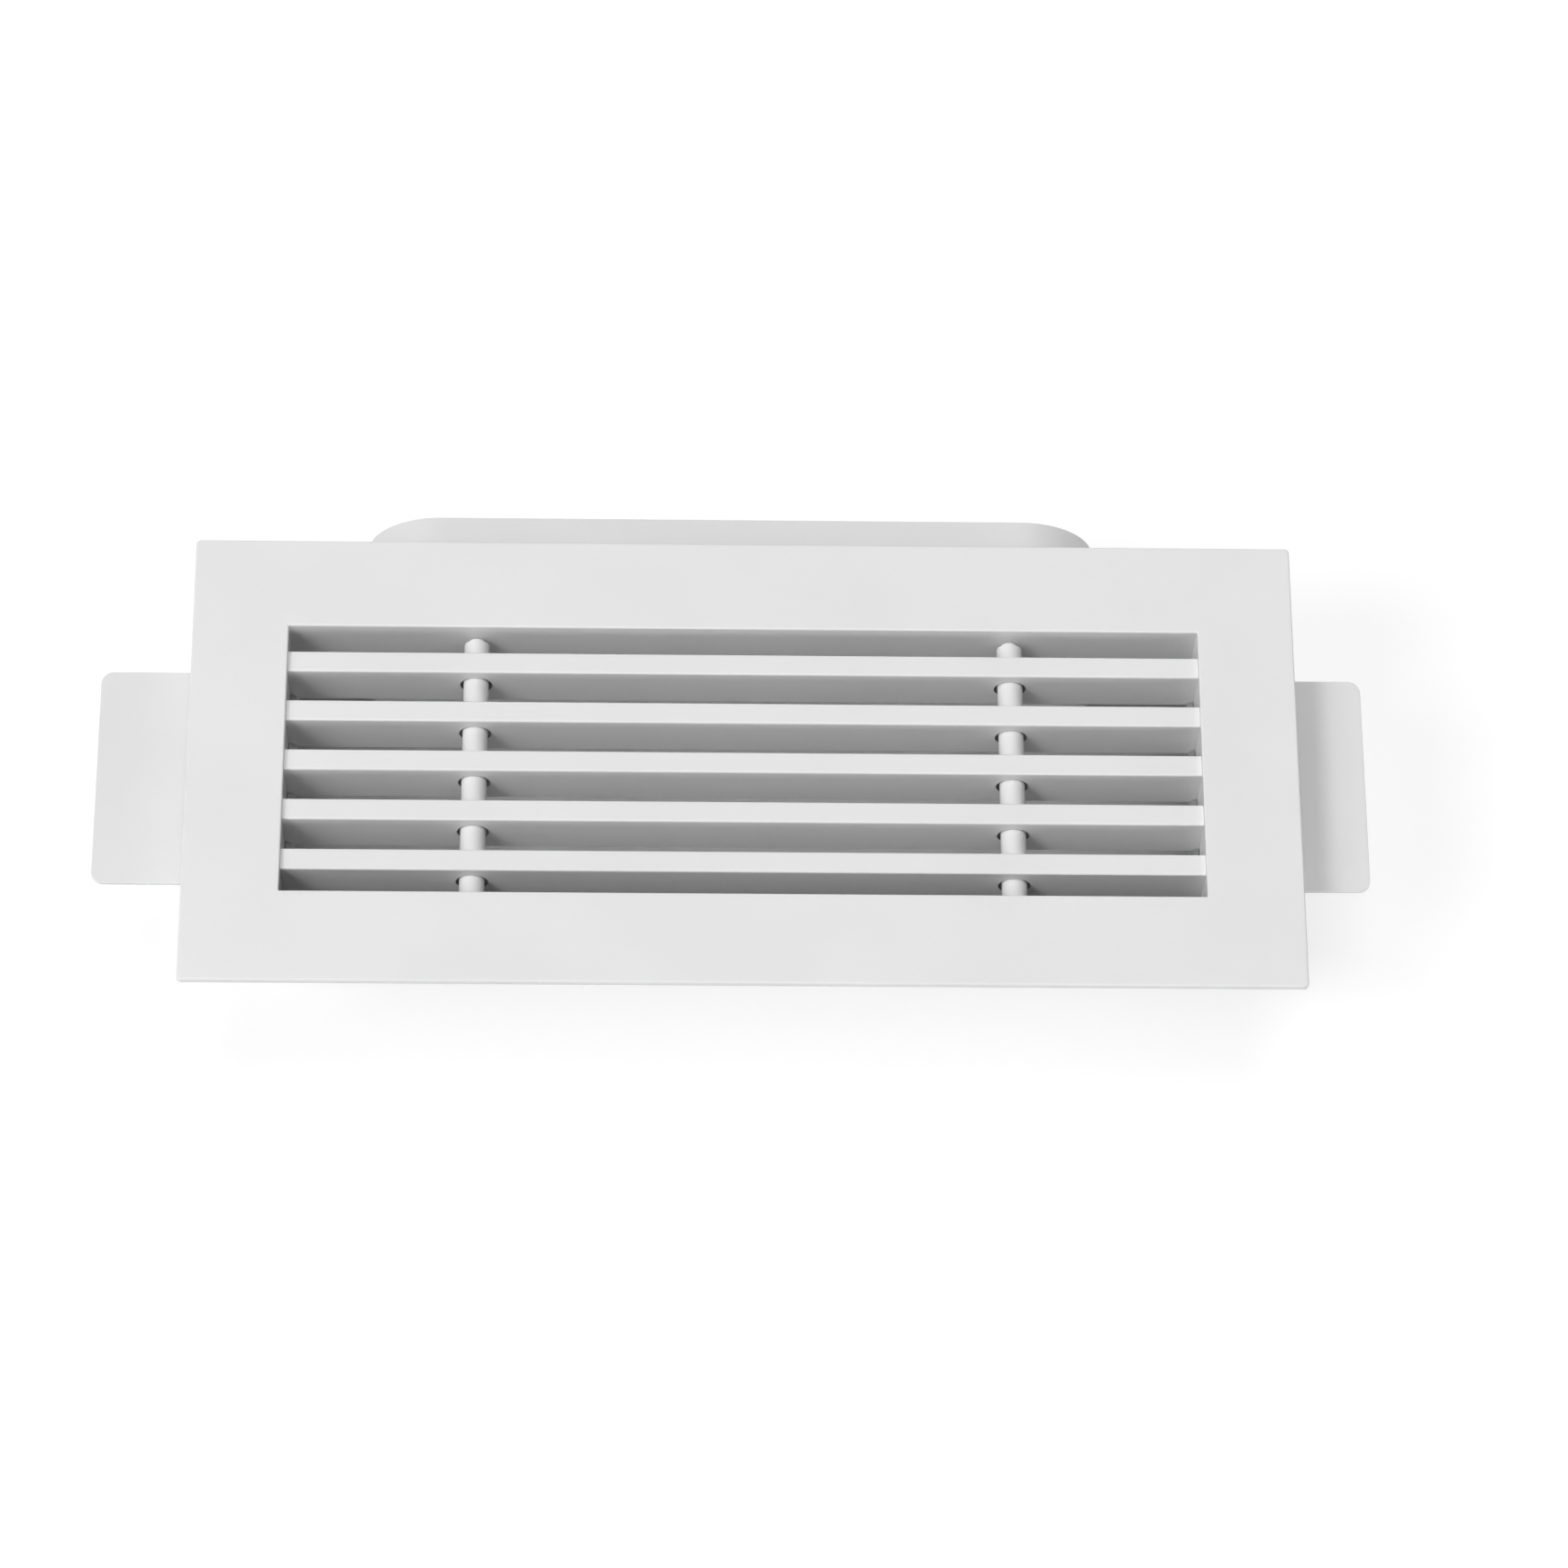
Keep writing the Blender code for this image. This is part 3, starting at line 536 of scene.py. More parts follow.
def make_frame():
    edge, lip, weld = FLANGE_EDGE_R, FRAME_LIP_R, NECK_WELD_R
    outer, inner = FLANGE_BORDER, FLANGE_BORDER - FLANGE_RIM_W
    profile = arc((edge, -edge), edge, 180, 90, 8)
    profile += arc((outer - edge, -edge), edge, 90, 0, 8)
    profile += arc((outer - lip, lip - FLANGE_RIM_DEPTH), lip, 0, -90, 3)
    profile += arc((inner + lip, lip - FLANGE_RIM_DEPTH), lip, -90, -180, 3)
    profile += [(inner, -FLANGE_T)]
    profile += arc((NECK_WALL + weld, -FLANGE_T - weld), weld, 90, 180, 4)
    profile += arc((NECK_WALL - lip, lip - NECK_DEPTH), lip, 0, -90, 3)
    profile += arc((lip, lip - NECK_DEPTH), lip, -90, -180, 3)
    bm = bmesh.new()
    place = Vector((GRILLE_X, 0, FACE_Z))
    rectangle_ring(bm, OPENING_W / 2, OPENING_H / 2, profile, place, OPENING_CORNER_R, FLANGE_CORNER_R)
    made = finish_piece(loose("grille_frame", bm), FRAME_PAINT, "frame_paint", "frame")

    def lower_wall(face):
        return face.normal.y > 0.99 and abs(face.center.y + OPENING_H / 2) < ON_PLANE

    # Painted shade: the wall under the last bar gets a grey paint so that the gap below that bar renders
    # darker than the others.
    paint_faces(made, NECK_PAINTED_SHADE, lower_wall)


# Bars


def bars_tree():
    """One bar from a filleted section, drilled for the rods, and repeated down the opening."""
    tree = bpy.data.node_groups.new("bars_on_rods", "GeometryNodeTree")
    face = tree.interface
    sizes = {}
    for name, kind in (
        ("Bars", "NodeSocketInt"),
        ("Pitch", "NodeSocketFloat"),
        ("Length", "NodeSocketFloat"),
        ("Face", "NodeSocketFloat"),
        ("Depth", "NodeSocketFloat"),
        ("Front edge", "NodeSocketFloat"),
        ("Back edge", "NodeSocketFloat"),
        ("Rod hole", "NodeSocketFloat"),
        ("Hole behind face", "NodeSocketFloat"),
        ("Rod spacing", "NodeSocketFloat"),
        ("Centre", "NodeSocketVector"),
        ("Coat", "NodeSocketMaterial"),
    ):
        sizes[name] = face.new_socket(name, in_out="INPUT", socket_type=kind).identifier
    face.new_socket("Bars", in_out="OUTPUT", socket_type="NodeSocketGeometry")
    add, link = tree.nodes.new, tree.links.new
    given = add("NodeGroupInput").outputs

    def vector(x=0.0, y=0.0, z=0.0):
        node = add("ShaderNodeCombineXYZ")
        for socket, value in zip(node.inputs, (x, y, z)):
            if isinstance(value, (int, float)):
                socket.default_value = value
            else:
                link(value, socket)
        return node.outputs[0]

    def maths(operation, first, second):
        node = add("ShaderNodeMath")
        node.operation = operation
        for socket, value in zip(node.inputs, (first, second)):
            if isinstance(value, (int, float)):
                socket.default_value = value
            else:
                link(value, socket)
        return node.outputs[0]

    # The section lies across X and Y, with the front edge at +Y.
    section = add("GeometryNodeCurvePrimitiveQuadrilateral")
    link(given["Face"], section.inputs["Width"])
    link(given["Depth"], section.inputs["Height"])
    where = add("ShaderNodeSeparateXYZ")
    link(add("GeometryNodeInputPosition").outputs[0], where.inputs[0])
    front = maths("GREATER_THAN", where.outputs["Y"], 0.0)
    radius = add("ShaderNodeMix")
    link(front, radius.inputs["Factor"])
    link(given["Back edge"], radius.inputs["A"])
    link(given["Front edge"], radius.inputs["B"])
    fillet = add("GeometryNodeFilletCurve")
    fillet.mode = "POLY"
    fillet.inputs["Count"].default_value = 7
    link(section.outputs["Curve"], fillet.inputs["Curve"])
    link(radius.outputs["Result"], fillet.inputs["Radius"])
    filled = add("GeometryNodeFillCurve")
    filled.mode = "NGONS"
    link(fillet.outputs[0], filled.inputs["Curve"])
    pulled = add("GeometryNodeExtrudeMesh")
    pulled.mode = "FACES"
    link(filled.outputs[0], pulled.inputs["Mesh"])
    link(vector(z=1.0), pulled.inputs["Offset"])
    link(given["Length"], pulled.inputs["Offset Scale"])
    back = add("GeometryNodeFlipFaces")
    link(filled.outputs[0], back.inputs["Mesh"])
    both = add("GeometryNodeJoinGeometry")
    link(pulled.outputs["Mesh"], both.inputs[0])
    link(back.outputs[0], both.inputs[0])
    closed = add("GeometryNodeMergeByDistance")
    closed.inputs["Distance"].default_value = ON_PLANE
    link(both.outputs[0], closed.inputs["Geometry"])
    laid = add("GeometryNodeTransform")
    laid.inputs["Rotation"].default_value = (math.pi / 2, 0, math.pi / 2)
    link(closed.outputs[0], laid.inputs["Geometry"])
    link(vector(x=maths("MULTIPLY", given["Length"], -0.5)), laid.inputs["Translation"])

    # Two drills across the bar.
    drill = add("GeometryNodeMeshCylinder")
    drill.inputs["Vertices"].default_value = 64
    link(maths("MULTIPLY", given["Rod hole"], 0.5), drill.inputs["Radius"])
    link(maths("MULTIPLY", given["Face"], 2.0), drill.inputs["Depth"])
    drilled = laid.outputs[0]
    height = maths("SUBTRACT", maths("MULTIPLY", given["Depth"], 0.5), given["Hole behind face"])
    for side in (-0.5, 0.5):
        aside = add("GeometryNodeTransform")
        aside.inputs["Rotation"].default_value = (math.pi / 2, 0, 0)
        link(drill.outputs["Mesh"], aside.inputs["Geometry"])
        across = maths("MULTIPLY", given["Rod spacing"], side)
        link(vector(x=across, z=height), aside.inputs["Translation"])
        hole = add("GeometryNodeMeshBoolean")
        hole.operation = "DIFFERENCE"
        hole.solver = "EXACT"
        link(drilled, hole.inputs["Mesh 1"])
        link(aside.outputs[0], hole.inputs["Mesh 2"])
        drilled = hole.outputs["Mesh"]

    # A row of them.
    row = add("GeometryNodeMeshLine")
    link(given["Bars"], row.inputs["Count"])
    rise = maths("MULTIPLY", maths("SUBTRACT", given["Bars"], 1), maths("MULTIPLY", given["Pitch"], 0.5))
    link(vector(y=rise), row.inputs["Start Location"])
    link(vector(y=maths("MULTIPLY", given["Pitch"], -1.0)), row.inputs["Offset"])
    spots = add("GeometryNodeInstanceOnPoints")
    link(row.outputs["Mesh"], spots.inputs["Points"])
    link(drilled, spots.inputs["Instance"])
    placed = add("GeometryNodeTransform")
    link(spots.outputs["Instances"], placed.inputs["Geometry"])
    link(given["Centre"], placed.inputs["Translation"])
    real = add("GeometryNodeRealizeInstances")
    link(placed.outputs[0], real.inputs[0])
    painted = add("GeometryNodeSetMaterial")
    link(real.outputs[0], painted.inputs["Geometry"])
    link(given["Coat"], painted.inputs["Material"])
    link(painted.outputs[0], add("NodeGroupOutput").inputs[0])
    return tree, sizes


def make_bars():
    tree, sizes = bars_tree()
    made = bpy.data.objects.new("grille_bars", bpy.data.meshes.new("grille_bars"))
    bpy.context.scene.collection.objects.link(made)
    modifier = made.modifiers.new("bars", "NODES")
    modifier.node_group = tree
    given = {
        "Bars": BAR_COUNT,
        "Pitch": BAR_PITCH,
        "Length": OPENING_W - 2 * BAR_END_PLAY,
        "Face": BAR_FACE,
        "Depth": BAR_DEPTH,
        "Front edge": BAR_FRONT_R,
        "Back edge": BAR_BACK_R,
        "Rod hole": ROD_HOLE_D,
        "Hole behind face": ROD_HOLE_IN,
        "Rod spacing": ROD_SPACING,
        "Centre": (GRILLE_X, 0.0, BAR_Z),
        "Coat": BAR_PAINT,
    }
    for name, value in given.items():
        modifier[sizes[name]] = value
    bake(made)
    finish_piece(made, BAR_PAINT, "bar_paint", *[f"bar_{k}" for k in range(1, BAR_COUNT + 1)])

    def hole_wall(face):
        aside = abs(face.center.x - GRILLE_X) - ROD_SPACING / 2
        down = face.center.z - (BAR_FRONT_Z - ROD_HOLE_IN)
        return math.hypot(aside, down) < ROD_HOLE_D / 2 and abs(face.normal.y) < 0.5

    # The holes for the rods are drilled after painting, so their walls are bare metal; this darker metal
    # also paints shade into the clearance round the rods.
    paint_faces(made, BORE_METAL_AND_SHADE, hole_wall)


def make_rods():
    for name in ("cross_rod_left", "cross_rod_right"):
        low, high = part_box(name)
        half = (high.y - low.y) / 2
        radius, tenon, shoulder = ROD_D / 2, ROD_TENON_D / 2, half - ROD_TENON_L
        side = [(tenon, half), (tenon, shoulder)]
        side += arc((radius - ROD_EDGE, shoulder - ROD_EDGE), ROD_EDGE, 90, 0, 4)
        profile = [(0, half)] + side + [(r, -y) for r, y in reversed(side)] + [(0, -half)]
        bm = bmesh.new()
        lathe(bm, profile, (low + high) / 2, (0, 1, 0), 64)
        finish_piece(loose(f"{name}_round", bm), ROD_PAINT, "rod_paint", name, sharp=50)


# Fasteners


def fastener_tree():
    """Sets a fastener on each point, with its axis along the point's own outward direction."""
    tree = bpy.data.node_groups.new("fasteners_on_points", "GeometryNodeTree")
    face = tree.interface
    face.new_socket("Points", in_out="INPUT", socket_type="NodeSocketGeometry")
    sizes = {}
    for name, kind in (("Fastener", "NodeSocketObject"), ("Metal", "NodeSocketMaterial")):
        sizes[name] = face.new_socket(name, in_out="INPUT", socket_type=kind).identifier
    face.new_socket("Fasteners", in_out="OUTPUT", socket_type="NodeSocketGeometry")
    add, link = tree.nodes.new, tree.links.new
    given = add("NodeGroupInput").outputs
    outward = add("GeometryNodeInputNamedAttribute")
    outward.data_type = "FLOAT_VECTOR"
    outward.inputs["Name"].default_value = "outward"
    turned = add("FunctionNodeAlignRotationToVector")
    turned.axis = "Z"
    link(outward.outputs["Attribute"], turned.inputs["Vector"])
    source = add("GeometryNodeObjectInfo")
    link(given["Fastener"], source.inputs["Object"])
    spots = add("GeometryNodeInstanceOnPoints")
    link(given["Points"], spots.inputs["Points"])
    link(source.outputs["Geometry"], spots.inputs["Instance"])
    link(turned.outputs["Rotation"], spots.inputs["Rotation"])
    real = add("GeometryNodeRealizeInstances")
    link(spots.outputs["Instances"], real.inputs[0])
    finished = add("GeometryNodeSetMaterial")
    link(real.outputs[0], finished.inputs["Geometry"])
    link(given["Metal"], finished.inputs["Material"])
    link(finished.outputs[0], add("NodeGroupOutput").inputs[0])
    return tree, sizes


FASTENER_TREE, FASTENER_SIZES = fastener_tree()


def set_fasteners(name, pattern, metal, slot, nodes, axis):
    """Put copies of a fastener where its solids are. Its own axis is +Z, with its outer end up."""
    mesh = bpy.data.meshes.new(name)
    spots, facing = [], []
    for node in nodes:
        low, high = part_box(node)
        middle = (low + high) / 2
        from_middle = middle[axis] - (GRILLE_X if axis == 0 else 0)
        outward = Vector((0, 0, 0))
        outward[axis] = 1 if from_middle > 0 else -1
        spot = middle.copy()
        spot[axis] = high[axis] if from_middle > 0 else low[axis]
        spots.append(spot)
        facing.append(outward)
    mesh.from_pydata(spots, [], [])
    attribute = mesh.attributes.new("outward", "FLOAT_VECTOR", "POINT")
    attribute.data.foreach_set("vector", [part for outward in facing for part in outward])
    made = bpy.data.objects.new(name, mesh)
    bpy.context.scene.collection.objects.link(made)
    modifier = made.modifiers.new("fasteners", "NODES")
    modifier.node_group = FASTENER_TREE
    modifier[FASTENER_SIZES["Fastener"]] = pattern
    modifier[FASTENER_SIZES["Metal"]] = metal
    bake(made)
    finish_piece(made, metal, slot, *nodes, sharp=40)


def blind_rivet(head_d, head_h, shank_d, tail_d, tail_h, length):
    """Domed blind rivet whose broken pin shows in its head. The head's top is at z 0."""
    pin, well, grip = shank_d * 0.30, head_h * 0.55, length - tail_h
    profile = [
        (0, -well * 0.55),
        (pin * 0.85, -well * 0.6),
        (pin, -well),
        (pin * 1.1, -well),
        (pin * 1.12, -0.00002),
    ]
    start = math.asin(pin * 1.25 / (head_d / 2))
    for k in range(1, RIVET_DOME_STEPS + 1):
        angle = start + k * RIVET_DOME_TURN / RIVET_DOME_STEPS
        fall = (1 - math.cos(angle)) / (1 - math.cos(RIVET_DOME))
        profile.append((head_d / 2 * math.sin(angle), -head_h * 0.72 * fall))
    profile += [
        (head_d / 2, -head_h * 0.78),
        (head_d / 2, -head_h),
        (shank_d / 2, -head_h),
        (shank_d / 2, -grip),
        (tail_d / 2 * 0.96, -grip - tail_h * 0.06),
        (tail_d / 2, -grip - tail_h * 0.35),
        (tail_d / 2 * 0.85, -grip - tail_h * 0.75),
        (pin * 1.2, -grip - tail_h * 0.98),
        (0, -length),
    ]
    bm = bmesh.new()
    lathe(bm, profile, (0, 0, 0), (0, 0, 1), 28)
    return loose("rivet_pattern", bm)


def cross_screw(head_d, head_h, shank_d, length):
    """Pan head screw with a cross recess and a thread on its shank. The head's top is at z 0."""
    head_r, shank_r, root_r = head_d / 2, shank_d / 2, shank_d / 2 * 0.82
    widest = math.sin(math.radians(SCREW_DOME))
    profile = [(0, 0)]
    for k in range(1, 9):
        angle = math.radians(SCREW_DOME * k / 8)
        profile.append((head_r * math.sin(angle) / widest, -head_h * 0.55 * (1 - math.cos(angle))))
    profile += [(head_r, -head_h * 0.9), (head_r - head_h * 0.08, -head_h), (shank_r, -head_h)]
    along = head_h + SCREW_RUNOUT
    while along + SCREW_PITCH < length - SCREW_RUNOUT:
        profile += [(root_r, -along), (shank_r, -along - SCREW_PITCH * 0.5)]
        along += SCREW_PITCH
    profile += [(root_r, -along), (shank_r * 0.55, -length + 0.00005), (0, -length)]
    bm = bmesh.new()
    lathe(bm, profile, (0, 0, 0), (0, 0, 1), 32)
    screw = loose("screw_pattern", bm)
    wide, narrow, deep = head_d * 0.29, head_d * 0.055, head_h * 0.72
    corners = [(-wide, -narrow), (wide, -narrow), (wide, narrow), (-wide, narrow)]
    for turn in (0, math.pi / 2):
        turned = Matrix.Rotation(turn, 3, "Z")
        slots = bmesh.new()
        loops = []
        for share, z in ((1.0, 0.0004), (1.0, 0.0), (0.55, -deep)):
            taper = 0.6 + 0.4 * share
            loops.append([turned @ Vector((x * share, y * taper, z)) for x, y in corners])
        rings = loft(slots, loops, False)
        slots.faces.new(rings[0])
        slots.faces.new(rings[-1])
        cut(screw, slots)
    return screw


def make_fasteners():
    screw = (SCREW_HEAD_D, SCREW_HEAD_H, SCREW_D)
    rows = (
        ("comb_rivet", 0, blind_rivet, LARGE_RIVET, RIVET_METAL, "rivet_metal"),
        ("clip_rivet", 1, blind_rivet, SMALL_RIVET, RIVET_METAL, "rivet_metal"),
        ("bracket_rivet", 0, blind_rivet, LARGE_RIVET, RIVET_METAL, "rivet_metal"),
        ("spigot_rivet", 1, blind_rivet, LARGE_RIVET, RIVET_METAL, "rivet_metal"),
        ("rod_screw", 1, cross_screw, screw, ZINC, "screw_metal"),
    )
    for node, axis, shape, sizes, metal, slot in rows:
        nodes = [f"{node}_{k}" for k in range(1, 5)]
        low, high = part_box(nodes[0])
        pattern = shape(*sizes, high[axis] - low[axis])
        set_fasteners(f"{node}s", pattern, metal, slot, nodes, axis)
        bpy.data.objects.remove(pattern, do_unlink=True)


# Combs, clips and gasket


def make_combs():
    for name, sign in (("end_comb_left", -1), ("end_comb_right", 1)):
        low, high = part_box(name)
        floor = high.z - COMB_BITE - PIECE_GAP
        notch = BAR_FACE / 2 + PIECE_GAP
        outline = [(low.y, high.z), (low.y, low.z), (high.y, low.z), (high.y, high.z)]
        for k in range(BAR_COUNT):
            y = ((BAR_COUNT - 1) / 2 - k) * BAR_PITCH
            outline += [(y + notch, high.z), (y + notch, floor), (y - notch, floor), (y - notch, high.z)]
        bm = bmesh.new()
        prism(bm, outline, low.x, high.x, along_x)
        # The teeth slope down towards the opening, to lead the bars in.
        inner = high.x if sign < 0 else low.x
        for vert in bm.verts:
            if abs(vert.co.x - inner) < ON_PLANE and vert.co.z > high.z - ON_PLANE:
                vert.co.z -= COMB_LEAD
        comb = loose(f"{name}_strip", bm)
        soften(comb, COMB_EDGE_R)
        finish_piece(comb, COMB_METAL, "comb_metal", name)


def clip_line(low, high):
    """Middle line of a clip as (depth, height over the neck): foot, bow and tip."""
    start = EAR_DEPTH + CLIP_INSET
    foot_end = start + CLIP_FOOT
    end = start + (high - low)
    base = PIECE_GAP + CLIP_T / 2
    crest = CLIP_RISE - base
    top = foot_end + (end - foot_end) * CLIP_CREST_SHARE
    points = [(start, base)]
    for k in range(CLIP_RISE_STEPS + 1):
        share = k / CLIP_RISE_STEPS
        lift = (1 - math.cos(math.pi * share)) / 2
        points.append((foot_end + (top - foot_end) * share, base + (crest - base) * lift))
    for k in range(1, CLIP_FALL_STEPS + 1):
        share = k / CLIP_FALL_STEPS
        drop = CLIP_TIP_DROP * math.sin(math.pi / 2 * share) ** 2
        points.append((top + (end - top) * share, crest - drop))
    return points


def make_clips():
    neck = OPENING_H / 2 + NECK_WALL
    for number in range(1, 5):
        low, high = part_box(f"spring_clip_{number}")
        sign = 1 if low.y > 0 else -1
        line = clip_line(low.z, high.z)
        upper, lower = [], []
        for k, (depth, height) in enumerate(line):
            before, after = line[max(k - 1, 0)], line[min(k + 1, len(line) - 1)]
            run = Vector((after[0] - before[0], after[1] - before[1])).normalized()
            upper.append((depth - run.y * CLIP_T / 2, height + run.x * CLIP_T / 2))
            lower.append((depth + run.y * CLIP_T / 2, height - run.x * CLIP_T / 2))
        side = [(sign * (neck + height), FACE_Z - depth) for depth, height in upper + lower[::-1]]
        bm = bmesh.new()
        prism(bm, side, low.x, high.x, along_x)
        clip = loose(f"spring_clip_{number}_strip", bm)
        hole = bmesh.new()
        rivet_low, rivet_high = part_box(f"clip_rivet_{number}")
        middle = (rivet_low + rivet_high) / 2
        cylinder(hole, middle, (0, 1, 0), CLIP_HOLE_R, -CUT_REACH, CUT_REACH, 24)
        cut(clip, hole)
        soften(clip, CLIP_EDGE_R, 2, 50)
        finish_piece(clip, SPRING_STEEL, "clip_steel", f"spring_clip_{number}")


def make_gasket():
    low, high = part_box("flange_gasket")
    inner, r = NECK_WALL + PIECE_GAP, GASKET_EDGE_R
    outer = inner + GASKET_W
    edge = outer - r - GASKET_BULGE
    height = high.z - low.z
    profile = arc((inner + r, -r), r, 180, 90, 3) + arc((edge, -r), r, 90, 20, 3)
    profile += [(outer, -height * 0.35), (outer, -height * 0.65)]
    profile += arc((edge, r - height), r, -20, -90, 3)
    profile += arc((inner + r, r - height), r, -90, -180, 3)
    bm = bmesh.new()
    place = Vector((GRILLE_X, 0, high.z))
    rectangle_ring(bm, OPENING_W / 2, OPENING_H / 2, profile, place, OPENING_CORNER_R, GASKET_CORNER_R)
    finish_piece(loose("flange_gasket_strip", bm), GASKET_RUBBER, "gasket_rubber", "flange_gasket")


# Duct box


def inset(outline, distance):
    """Move each side of a convex outline inwards, for an outline that runs counter-clockwise."""
    moved = []
    for k, corner in enumerate(outline):
        before, after = outline[k - 1], outline[(k + 1) % len(outline)]
        into = Vector((corner[0] - before[0], corner[1] - before[1])).normalized()
        out_of = Vector((after[0] - corner[0], after[1] - corner[1])).normalized()
        normals = Vector((-into.y, into.x)) + Vector((-out_of.y, out_of.x))
        step = normals * (2 * distance / normals.length_squared)
        moved.append((corner[0] + step.x, corner[1] + step.y))
    return moved


def make_plenum():
    low, high = plenum_low, plenum_high
    outline = [
        (high.y, high.z),
        (low.y, high.z),
        (low.y, low.z + PLENUM_SLOPE_Z),
        (low.y + PLENUM_SLOPE_Y, low.z),
        (high.y, low.z),
    ]
    bm = bmesh.new()
    prism(bm, outline, low.x, high.x, along_x)
    folds = [edge for edge in bm.edges if not all(abs(v.co.z - high.z) < PIECE_GAP for v in edge.verts)]
    bmesh.ops.bevel(bm, geom=folds, offset=PLENUM_FOLD_R, segments=6, profile=0.5, affect="EDGES")
    box = loose("duct_box", bm)
    hollow = bmesh.new()
    inner = inset(outline, PLENUM_WALL)
    inner[0] = (inner[0][0], high.z + CUT_FAR)
    inner[1] = (inner[1][0], high.z + CUT_FAR)
    prism(hollow, inner, low.x + PLENUM_WALL, high.x - PLENUM_WALL, along_x)
    folds = [edge for edge in hollow.edges if not all(v.co.z > high.z for v in edge.verts)]
    fold = PLENUM_INNER_FOLD_R
    bmesh.ops.bevel(hollow, geom=folds, offset=fold, segments=3, profile=0.5, affect="EDGES")
    cut(box, hollow)
    hole = bmesh.new()
    half_x, half_z = SPIGOT_W / 2 + PIECE_GAP, SPIGOT_T / 2 + PIECE_GAP
    oval = [(s * (half_x - half_z) + half_z * a, SPIGOT_Z + half_z * b) for s, a, b in oval_turns()]
    prism(hole, oval, high.y - PLENUM_WALL * 2, high.y + PLENUM_WALL * 2, along_y)
    cut(box, hole)
    finish_piece(box, SHEET_PAINT, "sheet_paint", "plenum_box", sharp=35)

    def inside(face):
        skin = PLENUM_WALL * 0.9
        slope = (face.center.y - low.y) / PLENUM_SLOPE_Y + (face.center.z - low.z) / PLENUM_SLOPE_Z - 1
        within = all(a + skin < b < c - skin for a, b, c in zip(low, face.center, high))
        return within and slope * PLENUM_SLOPE_Z > skin

    # The inside stays in its primer.
    paint_faces(box, BOX_PRIMER, inside)


def make_brackets():
    for name, sign in (("ear_bracket_left", -1), ("ear_bracket_right", 1)):
        low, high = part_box(name)
        inner, tip = sorted((abs(low.x), abs(high.x)))
        top = high.z
        bend = (inner + EAR_BEND_R, top - EAR_BEND_R)
        section = [(inner, low.z)] + arc(bend, EAR_BEND_R, 180, 90, 8) + [(tip, top), (tip, top - EAR_T)]
        section += arc(bend, EAR_BEND_R - EAR_T, 90, 180, 8) + [(inner + EAR_T, low.z)]
        half = high.y
        bm = bmesh.new()
        prism(bm, [(sign * x, z) for x, z in section], -half, half, along_y)
        ear = loose(f"{name}_plate", bm)
        keep = bmesh.new()
        r, near, beyond = EAR_CORNER_R, inner - CUT_FAR, half + CUT_FAR
        outline = [(near, -beyond), (tip - r, -beyond)]
        outline += arc((tip - r, -half + r), r, -90, 0, 12) + arc((tip - r, half - r), r, 0, 90, 12)
        outline += [(tip - r, beyond), (near, beyond)]
        prism(keep, [(sign * x, y) for x, y in outline], -CUT_FAR, FACE_Z, along_z)
        cut(ear, keep, "INTERSECT")
        holes = bmesh.new()
        for y in (-EAR_HOLE_SPACING / 2, EAR_HOLE_SPACING / 2):
            spot = (sign * (PLENUM_OUT_X + EAR_HOLE_IN), y, top)
            cylinder(holes, spot, (0, 0, 1), EAR_HOLE_D / 2, -CUT_REACH, CUT_REACH)
        cut(ear, holes)
        soften(ear, EAR_EDGE_R, 3, 50)
        finish_piece(ear, SHEET_PAINT, "sheet_paint", name, sharp=35)


def make_spigot():
    low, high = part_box("duct_spigot")
    lip = SPIGOT_WALL / 2
    rim = high.y - lip
    back = PLENUM_OUT_Y + PIECE_GAP
    front = back + SPIGOT_COLLAR_T
    bend, edge = SPIGOT_BEND_R, SPIGOT_COLLAR_R
    profile = [(0, rim)]
    profile += arc((bend, front + bend), bend, 180, 270, 6)
    profile += arc((SPIGOT_COLLAR - edge, front - edge), edge, 90, 0, 3)
    profile += arc((SPIGOT_COLLAR - edge, back + edge), edge, 0, -90, 3)
    profile += [(0, back), (0, low.y), (-SPIGOT_WALL, low.y)]
    profile += arc((-lip, rim), lip, 180, 0, 8)[:-1]
    bm = bmesh.new()
    oval_ring(bm, SPIGOT_W / 2, SPIGOT_T / 2, profile)
    finish_piece(loose("duct_spigot_tube", bm), SHEET_PAINT, "sheet_paint", "duct_spigot", sharp=35)


def make_seal():
    """Rubber band with rounded lips round the spigot."""
    start = PLENUM_OUT_Y + SEAL_START
    end, pitch = start + SEAL_LENGTH, SEAL_LENGTH / SEAL_LIPS
    profile = [(PIECE_GAP, start), (SEAL_T * 0.8, start), (SEAL_T, start + SEAL_EDGE)]
    for k in range(SEAL_LIPS):
        crest = start + pitch / 2 + k * pitch
        for step in range(-6, 7):
            share = step / 6
            lift = (1 + math.cos(math.pi * share)) / 2
            profile.append((SEAL_T + (SEAL_LIP - SEAL_T) * lift ** 1.4, crest + share * pitch / 4))
    profile += [(SEAL_T, end - SEAL_EDGE), (SEAL_T * 0.8, end), (PIECE_GAP, end)]
    bm = bmesh.new()
    oval_ring(bm, SPIGOT_W / 2, SPIGOT_T / 2, profile)
    finish_piece(loose("duct_seal_band", bm), SEAL_RUBBER, "seal_rubber", "duct_seal")


# Studio

# The camera's turns in degrees, its way to the grille in flange widths, and its focal length
# in pixels of a square frame.
CAMERA_TURNS = (("Z", -0.21), ("X", -25.4), ("Y", -1.49))
CAMERA_WAY = (-0.036, -0.022, 5.007)
FLANGE_W = OPENING_W + 2 * FLANGE_BORDER
FOCUS_PX = 6183
FRAME_PX = 1740
SENSOR_MM = 36

FLOOR_HALF = 30
FLOOR_GAP = 0.0002
